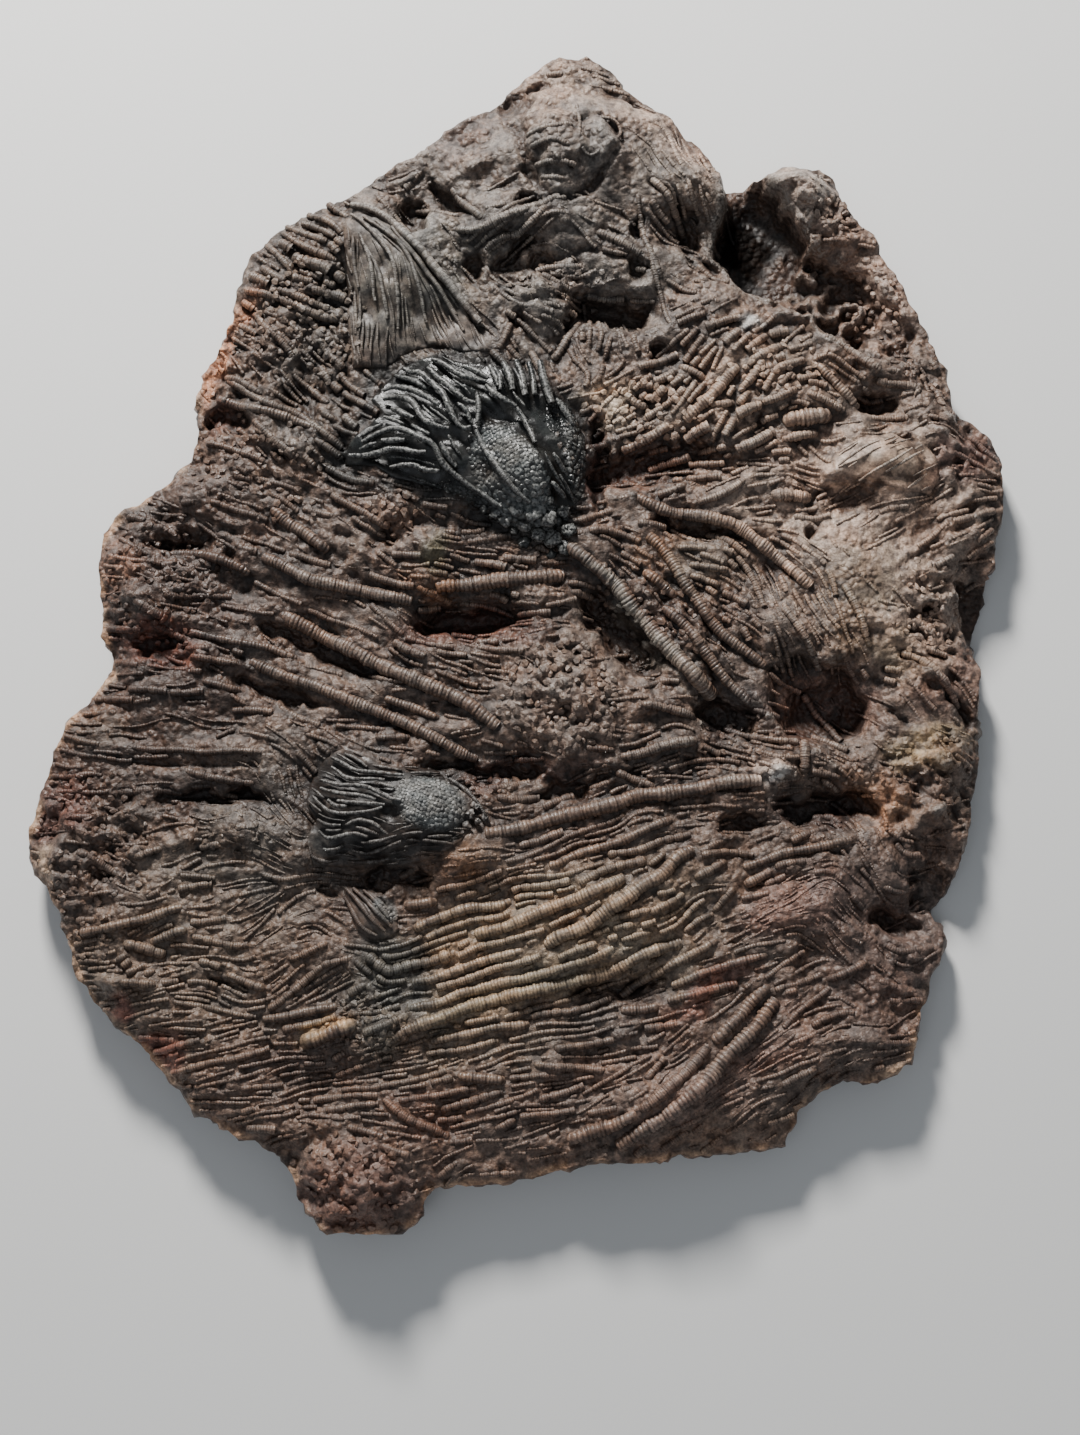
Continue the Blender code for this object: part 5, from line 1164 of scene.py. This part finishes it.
# how strongly painted shade darkens each crown and the bed round it towards charcoal
SHADE_ROUND_CROWN = {"upper_crown": 0.8, "lower_crown": 0.45, "leaf_cup": 0.3}
# dark hollows in the crowns: crown, place, half sizes, turn, depth
BOWLS = [
    ("upper_crown", (14, 100, 11, 15, 10), 5.0), ("upper_crown", (-17, 80, 9, 6, -40), 3.0),
    ("upper_crown", (-8, 106, 8, 6, 0), 3.0), ("lower_crown", (-55, -76, 6, 4, 0), 2.5),
    ("top_crown", (-67, 158, 6, 9, 0), 2.2), ("top_crown", (-45, 158, 5, 8, 20), 2.0),
    ("top_crown", (-60, 178, 7, 3, 60), 1.2),
]
# how far the crust under a crown's arms lies below its packed top, in mm
SINK = {"upper_crown": 4.0, "lower_crown": 2.6, "worn_crown": 4.5}
LITTLE_SUNK, SETTLED = 0.7, 9000          # mm, and the number that claims a crown's filled ground
PALE_PLATES = (101, 108, 111)
crusts = {}
crusted = smooth_bed.copy()


def of_crown(table, name):
    """The rows of a table that are about one crown, without its name."""
    return [row[1:] for row in table if row[0] == name]


for number, (name, ring) in enumerate(CROWN_RINGS.items(), start=1):
    tree = packed_tree(name)
    j, i = block(ring, 6)
    patch_x, patch_y = grid_x[j, i], grid_y[j, i]
    heights = [packed_height(tree, x, y) for x, y in zip(patch_x.ravel(), patch_y.ravel())]
    heights = np.array(heights).reshape(patch_x.shape)
    ground = smooth_bed.copy()
    ground[j, i] = blur(np.where(np.isnan(heights), smooth_bed[j, i] + 0.8, heights), 3.4)
    arm_thick, arms = ARMS[name]
    sink = np.full(grid_x.shape, SINK.get(name, LITTLE_SUNK))
    for place, *_ in of_crown(CUPS, name):
        sink = sink * (1 - 0.8 * ellipse(grid_x, grid_y, *place, 0.6, 1.15))
    for place, depth in of_crown(BOWLS, name):
        sink = sink + depth * ellipse(grid_x, grid_y, *place, 0.4, 1.15)
    crust = np.maximum(ground - sink + 0.5 * rough(grid_x, grid_y, 4.0, 2, 120), smooth_bed + 0.7)
    if name == "top_crown":
        crust = crust + 1.1 * rough(grid_x, grid_y, 9.0, 2, 121) * np.clip((196 - grid_y) / 30, 0.2, 1)
    crusts[name] = crust
    for place, *_ in of_crown(CUPS + BOWLS, name):
        taken[(taken == -number) & (ellipse(fine_x, fine_y, *place, 0.8, 1.0) > 0.5)] = SETTLED
    home = inside(grid_x, grid_y, ring)
    crusted = np.where(home, crust, crusted)
    # the arms between the traced ones run as their neighbours do
    traced = [spread(line, 2.0) for line in arms]
    starts = np.vstack([t[:-1] for t in traced])
    steps = np.vstack([np.diff(t, axis=0) for t in traced])
    ways = 2 * np.arctan2(steps[:, 1], steps[:, 0])
    off_x, off_y = patch_x[..., None] - starts[:, 0], patch_y[..., None] - starts[:, 1]
    share = 1 / (off_x ** 2 + off_y ** 2 + 3.0) ** 2
    way = 0.5 * np.arctan2((share * np.sin(ways)).sum(-1), (share * np.cos(ways)).sum(-1))
    grain[j, i] = np.where(inside(patch_x, patch_y, ring), way, grain[j, i])
    for line in arms:
        points = spread(line, 0.9)
        mark(points, 0.5 * arm_thick + (0.2 if name == "upper_crown" else 0.1), SETTLED + len(laid))
        lay(points, 0.5 * arm_thick, 0.66, name, ground, 0.35)
    strew(1.7, FILL[name], name, 0.3, -number, ground, ring, 0.4)
    for thick, line in of_crown(STRANDS, name):
        lay(spread(line, 0.9), 0.5 * thick, 0.75, name, np.maximum(ground, smooth_bed), 0.25)
    # painted shade: the crown, and the bed fading out some 13 mm round it, are darkened towards charcoal
    strength, off = SHADE_ROUND_CROWN.get(name, 0.0), off_ring(stain_x, stain_y, ring)
    crown_shade = np.where(home, strength, strength * (1 - np.clip((off - 2) / 11, 0, 1)) ** 1.5)
    tints = over(tints, crown_shade, linear(*CHARCOAL))
    # the plates of its cup are paler
    for place, *_ in of_crown(CUPS, name)[:1]:
        share = 0.8 * ellipse(grid_x, grid_y, *place, 0.7, 1.1)
        tints = over(tints, share, linear(*PALE_PLATES))
# the mean height round each place, rods included, tells which points stand out and which are recessed
covered = np.maximum(np.maximum(bed, crusted), tops[::FINE, ::FINE])
level = blur(covered, 5.5)
# broad hollows are set further under the level, so that the material darkens them more, as painted shade
level = level + 0.3 * np.clip(blur(covered, 16.0) - level, 0, 8)


def finished(thing, slot, *nodes, **looks):
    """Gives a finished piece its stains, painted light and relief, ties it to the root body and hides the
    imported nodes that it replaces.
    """
    weather_and_paint_light(thing.data, **looks)
    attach(thing, "root")
    if nodes:
        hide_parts(*nodes)
    return thing


# The bed's own piece: limestone, weathered brown-grey over its whole top and broken side. Its flat
# back is as it split. Dirt and painted shade darken it between the rods that crowd on it.
bed_corners, bed_faces = slab_mesh()
limestone = weathered_stone_with_painted_light("limestone", (0.30, 0.28, 0.255), 0.44, 0.75, 330)
slab_piece = into_mesh("limestone_bed", bed_corners, bed_faces, limestone)
crowd = blur((taken[::FINE, ::FINE] > 0).astype(float), 2.0)


def dirt_and_shade(x, y):
    """How much dirt and painted shade darken the bed: most between crowded rods, less at the slab's foot."""
    return np.clip((at(crowd, x, y) - 0.35) / 0.35, 0, 1) * (0.65 - 0.40 * at_foot(y))


finished(slab_piece, "limestone", "matrix", soot=DIRT_AND_SHADE_BROWN, char=dirt_and_shade)

# The long stems: columns of calcite discs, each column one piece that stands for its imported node. Most
# are worn nearly smooth, and a few still show every ring.
column_stone = weathered_stone_with_painted_light("stem_stone", (0.40, 0.37, 0.33), 0.37, 0.40)
# how deep the joints of the sharply ringed ones go, as a share of their half width
RING_SHARE = {"ringed_stem": 0.16, "twin_stem_left": 0.14, "twin_stem_right": 0.14,
              "short_ringed_stem": 0.15, "ringed_block": 0.13, "ringed_barrel": 0.10}
for rod in [r for r in laid if r[2] in STEMS]:
    name, half = rod[2], rod[1][0]
    pitch = max(1.5, 0.30 * 2 * half) if name not in RING_SHARE else 2.1
    piece = grown(as_curves(name + "_rings", [rod]), RINGED, {
        "Step": pitch / 4 * MM, "Steps in a ring": 4, "Joint depth": RING_SHARE.get(name, 0.05),
        "Break depth": 0.10, "Sides": 14, "Marks": 0.25, "Roughness": 0.0009, "Seed": 3,
        "Material": column_stone})
    finished(piece, "stem_calcite", name, tone=(1.06, 1.06, 1.05), relief_size=5.0)

# The short rods: broken lengths of stem and arm, strewn over the bed and cemented to it. The upper
# and the lower half are a piece each, the fine ones apart from the thicker ones.
rod_stone = weathered_stone_with_painted_light("rod_stone", (0.40, 0.37, 0.33), 0.39, 0.60)
FINEST = 1.45                             # mm, the half width that the fine rods stay under
loose = [r for r in laid if r[2] in ("broken", "worn")]
for name, low, high, fine in (("upper_rods", -60, 300, False), ("lower_rods", -300, -60, False),
                              ("upper_fine_rods", -60, 300, True), ("lower_fine_rods", -300, -60, True)):
    chosen = [r for r in loose if low <= r[0][0, 1] < high and (np.max(r[1]) < FINEST) == fine]
    piece = grown(as_curves(name, chosen), RINGED, {
        "Step": (1.3 if fine else 1.1) * MM, "Steps in a ring": 2 if fine or low > -100 else 4,
        "Joint depth": 0.12, "Break depth": 0.20, "Sides": 5 if fine else 8, "Marks": 1.0,
        "Roughness": 0.0011, "Seed": 4, "Material": rod_stone})
    finished(piece, "stem_calcite", tone=(1.05, 1.05, 1.04), relief_size=3.6)


# The crowns' own pieces: a thin crust of dark calcite on the bed, the arms and strands that have grown
# together with it, and a mosaic of plates set in rows round the cup's root. Each crown is one piece.
def plate_tree():
    """Points to rounded plates: each point has a size and the way that it faces."""
    tree, add, given = open_tree("plates", (
        ("Around", "Int"), ("Rows", "Int"), ("Flatness", "Float"), ("Rounded", "Bool")))
    plate = {"Segments": given["Around"], "Rings": given["Rows"], "Radius": 0.5}
    plate = add("GeometryNodeMeshUVSphere", plate)

    def chance(low, high):
        """A random vector for each plate."""
        return add("FunctionNodeRandomValue", {"Min": low, "Max": high, "Seed": given["Seed"]},
                   data_type="FLOAT_VECTOR")

    facing, size = (add("GeometryNodeInputNamedAttribute", {"Name": label}, "Attribute", data_type=kind)
                    for label, kind in (("facing", "FLOAT_VECTOR"), ("size", "FLOAT")))
    turn = add("FunctionNodeAlignRotationToVector", {"Vector": facing}, axis="Z")
    turn = add("FunctionNodeRotateRotation", {0: turn, 1: chance((-0.25, -0.25, -3.1), (0.25, 0.25, 3.1))},
               rotation_space="LOCAL")
    flat = add("ShaderNodeCombineXYZ", {0: 1.0, 1: 1.0, 2: given["Flatness"]})
    shape = add("ShaderNodeVectorMath", {0: chance((0.85, 0.75, 0.75), (1.3, 1.1, 1.15)), 1: flat},
                operation="MULTIPLY")
    shape = add("ShaderNodeVectorMath", {0: shape, "Scale": size}, operation="SCALE")
    plates = add("GeometryNodeInstanceOnPoints", {"Points": given["Geometry"], "Instance": plate,
                                                  "Rotation": turn, "Scale": shape})
    return close_tree(tree, add, given, plates, 520.0, given["Rounded"])


PLATES = plate_tree()


def on_ground(plates, ground):
    """Adds to each plate's place and size its height on the ground and the way that it faces."""
    x, y, size = plates.T
    slope_x = (at(ground, x + 1, y) - at(ground, x - 1, y)) / 2
    slope_y = (at(ground, x, y + 1) - at(ground, x, y - 1)) / 2
    return np.column_stack([x, y, at(ground, x, y), size, -slope_x, -slope_y])


def strewn_plates(place, mean_size, cover, ground, within, tries, seed):
    """Places for plates that touch without overlapping much: x, y, z, size, facing."""
    roll = np.random.default_rng(seed)
    reach = max(place[2], place[3]) * 1.1
    spots = np.column_stack([roll.uniform(place[0] - reach, place[0] + reach, tries),
                             roll.uniform(place[1] - reach, place[1] + reach, tries)])
    keep = roll.uniform(0, 1, tries) < ellipse(*spots.T, *place, 0.75, 1.08) * cover
    keep = keep & inside(*spots.T, within)
    spots = spots[keep & (at(rim_off, *spots.T) > 2)]
    wanted = mean_size * roll.uniform(0.7, 1.25, len(spots))
    kept, cells = [], {}
    for n in np.argsort(-wanted, kind="stable"):
        (x, y), size = spots[n], wanted[n]
        key = (int(x // 5), int(y // 5))      # neighbours are looked for in cells of 5 mm
        near = [o for a in (-1, 0, 1) for b in (-1, 0, 1) for o in cells.get((key[0] + a, key[1] + b), ())]
        if all((x - ox) ** 2 + (y - oy) ** 2 > (0.40 * (size + os)) ** 2 for ox, oy, os in near):
            cells.setdefault(key, []).append((x, y, size))
            kept.append((x, y, size))
    return on_ground(np.array(kept).reshape(-1, 3), ground)


def rowed_plates(place, small, large, root, ground, within, seed):
    """Places for the plates of a cup, in rows round its root and largest there: x, y, z, size, facing."""
    roll = np.random.default_rng(seed)
    far = 1.5 * max(place[2], place[3])
    out, rows = 0.4 * large, []
    while out < 2 * far:
        size = small + (large - small) * max(0.0, 1 - out / far) ** 1.6
        count = max(3, round(2 * math.pi * out / (0.84 * size)))
        turn = 2 * math.pi * (np.arange(count) + 0.5 * (len(rows) % 2)) / count
        row = np.column_stack([root[0] + out * np.cos(turn), root[1] + out * np.sin(turn)])
        shift, grown_by = roll.uniform(-0.13, 0.13, (count, 2)), roll.uniform(0.86, 1.16, count)
        rows.append(np.column_stack([row + size * shift, size * grown_by]))
        out += 0.74 * size
    plates = np.concatenate(rows)
    keep = (ellipse(*plates[:, :2].T, *place, 0.75, 1.08) > 0.45) & inside(*plates[:, :2].T, within)
    return on_ground(plates[keep], ground)


def as_points(name, plates):
    """Places for plates as a point mesh that carries each one's size and facing."""
    mesh = bpy.data.meshes.new(name)
    mesh.from_pydata(in_world(plates).tolist(), [], [])
    facing = np.column_stack([plates[:, 4], plates[:, 5], np.ones(len(plates))])
    mesh.attributes.new("size", "FLOAT", "POINT").data.foreach_set("value", plates[:, 3] * MM)
    mesh.attributes.new("facing", "FLOAT_VECTOR", "POINT").data.foreach_set("vector", facing.ravel())
    return shown(name, mesh)


def joined(name, things):
    """Several mesh objects at the origin as one."""
    whole = bmesh.new()
    for thing in things:
        whole.from_mesh(thing.data)
    mesh = bpy.data.meshes.new(name)
    whole.to_mesh(mesh)
    whole.free()
    for stone in things[0].data.materials:
        mesh.materials.append(stone)
    for thing in things:
        data = thing.data
        bpy.data.objects.remove(thing)
        bpy.data.meshes.remove(data)
    return shown(name, mesh)


# the large plates where a crown meets its stem: place, height over the bed, size
FOOT_PLATES = {
    "upper_crown": [(-9.5, 61, 2.2, 5.4), (-5, 57, 2.0, 6.2), (0, 61, 4.0, 6.6), (4, 54.5, 2.4, 7.4),
                    (8, 59, 4.4, 7.0), (10, 50.5, 2.0, 7.6), (15, 57, 4.2, 8.0), (16.5, 49, 2.6, 8.2),
                    (22, 61, 2.4, 7.6), (22, 45, 1.4, 6.8), (24, 53, 1.8, 7.0), (-14.5, 63, 1.6, 4.4),
                    (16, 43, 0.4, 5.0), (4, 48, 0.6, 5.2), (-1, 53, 0.6, 4.6)],
    "lower_crown": [(-20, -77, 3.0, 3.8), (-17, -80, 2.2, 4.2), (-22, -82, 2.0, 3.8), (-14, -78, 1.4, 4.0),
                    (-18, -73, 2.2, 3.4)],
}
# how charred each crown is, and how glossy the wet-looking ones are
CHAR = {"upper_crown": 0.97, "lower_crown": 0.62, "top_crown": 0.20, "worn_crown": 0.0, "leaf_cup": 0.25}
GLOSS = {"upper_crown": 0.27, "lower_crown": 0.42}
THIN, LIP, UNDERSIDE = 0.5, 0.45, 0.6      # mm, the crust over the bed, at its edge and down into it
for name, ring in CROWN_RINGS.items():
    crust = crusts[name]
    edge, _ = fine_ring(ring, 1.4, 0.5, 131)
    low, high = np.min(ring, 0), np.max(ring, 0)
    spots = np.meshgrid(np.arange(low[0], high[0], 1.35), np.arange(low[1], high[1], 1.2))
    spots = np.stack(spots, -1)
    spots[1::2, :, 0] += 0.67
    spots = spots.reshape(-1, 2)
    spots = spots[inside(*spots.T, edge) & (off_ring(*spots.T, edge) > 0.8)]
    corners, faces, rim = filled(edge[::-1].tolist(), spots.tolist())
    rim = rim[::-1]
    bed_here = at(bed, *corners.T)
    top = np.column_stack([corners, np.maximum(at(crust, *corners.T), bed_here + THIN)])
    top[rim, 2] = bed_here[rim] + LIP
    under = np.column_stack([corners, np.minimum(bed_here, top[:, 2] - 0.4) - UNDERSIDE])
    count = len(corners)
    faces = faces + [tuple(count + k for k in reversed(f)) for f in faces]
    faces += [(int(a), int(b), int(b) + count, int(a) + count) for a, b in zip(rim, np.roll(rim, -1))]
    # the pale tint of a crown's raised tops is wear and a painted highlight
    worn = (0.31, 0.31, 0.30) if CHAR[name] > 0.3 else (0.40, 0.38, 0.35)
    stone = weathered_stone_with_painted_light(name + "_stone", worn, GLOSS.get(name, 0.50), 0.35)
    parts = [into_mesh(name + "_crust", np.vstack([top, under]), faces, stone)]
    rods = [r for r in laid if r[2] == name]
    parts.append(grown(as_curves(name + "_arms", rods), RINGED, {
        "Step": 0.85 * MM, "Steps in a ring": 2, "Joint depth": 0.06, "Break depth": 0.06, "Sides": 10,
        "Marks": 1.0, "Roughness": 0.0007, "Seed": 5, "Material": stone}))
    for number, (crown, place, small, large, root) in enumerate(CUPS):
        if crown != name:
            continue
        ground = np.maximum(crust, smooth_bed)
        plates = rowed_plates(place, small, large, root, ground, ring, 140 + number)
        parts.append(grown(as_points(f"{name}_plates_{number}", plates), PLATES, {
            "Around": 7, "Rows": 4, "Flatness": 0.52, "Seed": 6, "Roughness": 0.0012,
            "Rounded": False, "Material": stone}))
    if name in FOOT_PLATES:
        plates = [(x, y, at(smooth_bed, x, y) + rise, size, 0, 0) for x, y, rise, size in FOOT_PLATES[name]]
        parts.append(grown(as_points(name + "_foot", np.array(plates)), PLATES, {
            "Around": 14, "Rows": 9, "Flatness": 0.60, "Seed": 9, "Roughness": 0.0042,
            "Rounded": True, "Material": stone}))
    share, least = CHAR[name], 0.8 if CHAR[name] > 0.9 else 0.35

    def charred(x, y):
        """How dark the crown is: fading at its edge, and paler on the plates of its cup."""
        off = off_ring(x, y, ring) + 1.5 * waves(x, y, 4.0, 133)
        paler = 0.7 * sum(ellipse(x, y, *place, 0.7, 1.1) for place, *_ in of_crown(CUPS, name)[:1])
        return share * np.clip(off / 4, least, 1) * (1 - paler)

    finished(joined(name + "_fossil", parts), "crown_calcite", name,
             relief_size=1.9 if share > 0.3 else 2.8, char=charred)


# Loose plates and grains: broken bits of cups and stems, of the same calcite as the rods. They lie in
# drifts, cemented to the bed between the larger pieces.
# each drift: place, half sizes, turn, size of a plate, cover
DRIFTS = [
    (20, -24, 28, 28, 0, 3.4, 0.8), (-55, 62, 12, 11, 0, 4.0, 0.9), (-62, -170, 20, 15, 0, 3.4, 0.7),
    (-72, -240, 36, 24, 10, 3.6, 0.6), (146, 212, 14, 14, 0, 3.6, 0.6), (170, 168, 16, 20, 0, 3.6, 0.6),
    (188, 20, 20, 24, 0, 3.2, 0.5), (160, -54, 30, 13, 0, 2.9, 0.6), (-120, 84, 38, 24, -20, 3.6, 0.4),
    (-160, 30, 28, 32, 0, 3.4, 0.4), (-190, -84, 28, 34, 0, 3.2, 0.35), (-122, -84, 18, 12, 0, 3.0, 0.5),
    (200, -62, 12, 24, 0, 3.2, 0.5), (-96, 152, 26, 34, 0, 3.4, 0.5), (60, 110, 30, 16, 0, 3.8, 0.7),
    (140, -84, 24, 7, 0, 2.8, 0.6), (25, 88, 10, 26, 0, 3.0, 0.6), (8, 42, 16, 6, 0, 3.2, 0.7),
    (120, 130, 30, 14, 10, 3.4, 0.5), (-133, 142, 30, 6, 63, 2.6, 1.0), (-196, -120, 14, 30, 20, 3.2, 0.4),
    (-10, -62, 12, 6, 0, 3.2, 0.8), (100, -40, 20, 12, 0, 3.2, 0.5), (118, -57, 8, 6, 0, 3.4, 0.9),
    (190, 128, 12, 22, 0, 3.4, 0.5), (20, 170, 30, 12, 0, 3.0, 0.4), (60, 15, 30, 20, -45, 3.2, 0.5),
]
TRIES = 1.3                               # for each square mm of a drift's half sizes
piled = np.maximum(smooth_bed, blur(covered, 1.6) - 0.3)
drifts = np.concatenate([
    strewn_plates(place, size, cover, piled, OUTLINE, int(place[2] * place[3] * TRIES), 160 + n)
    for n, (*place, size, cover) in enumerate(DRIFTS)])
drifts = drifts[[taken[cell(x, y)] >= 0 for x, y in drifts[:, :2]]]
piece = grown(as_points("loose_plates", drifts), PLATES, {
    "Around": 6, "Rows": 3, "Flatness": 0.66, "Seed": 8, "Roughness": 0.0026, "Rounded": False,
    "Material": rod_stone})
finished(piece, "limestone", tone=(1.05, 1.04, 1.02))


# The stage: a plain pale floor under the slab. One soft key light stands at the upper left, low over
# the slab so that its relief shows, and a weak fill and a pale sky lift the shadows.
floor_mesh = bpy.data.meshes.new("floor")
floor_mesh.from_pydata([(-3, -3, 0), (3, -3, 0), (3, 3, 0), (-3, 3, 0)], [], [(0, 1, 2, 3)])
pale = bpy.data.materials.new("pale_floor")
pale.use_nodes = True
finish = pale.node_tree.nodes["Principled BSDF"].inputs
finish["Base Color"].default_value = (0.80, 0.80, 0.79, 1)
finish["Roughness"].default_value = 0.8
floor_mesh.materials.append(pale)
shown("floor", floor_mesh)


def soft_light(name, size, power, colour, azimuth, elevation, distance):
    """A square light that faces the slab. Azimuth 90 is over the peak, 180 to its left."""
    lamp = bpy.data.lights.new(name, "AREA")
    lamp.size, lamp.energy, lamp.color = size, power, colour
    thing = shown(name, lamp)
    a, e = math.radians(azimuth), math.radians(elevation)
    towards = Vector((math.cos(a) * math.cos(e), math.sin(a) * math.cos(e), math.sin(e)))
    thing.location = towards * distance
    thing.rotation_euler = towards.to_track_quat("Z", "Y").to_euler()


soft_light("key", 0.30, 65, (1.0, 0.98, 0.95), 106, 31, 1.7)
soft_light("fill", 1.6, 5.5, (0.86, 0.92, 1.0), 250, 60, 2.2)
world = bpy.data.worlds.new("studio")
world.use_nodes = True
sky = world.node_tree.nodes["Background"].inputs
sky["Color"].default_value = (0.82, 0.87, 0.93, 1)
sky["Strength"].default_value = 0.22
bpy.context.scene.world = world

lens = bpy.data.cameras.new("camera")
lens.lens, lens.sensor_width = 53.0, 36.0
camera = shown("camera", lens)
camera.location = (0.0085, -0.1763, 0.9754)
camera.rotation_euler = (math.radians(8.0), 0, 0)
bpy.context.scene.camera = camera
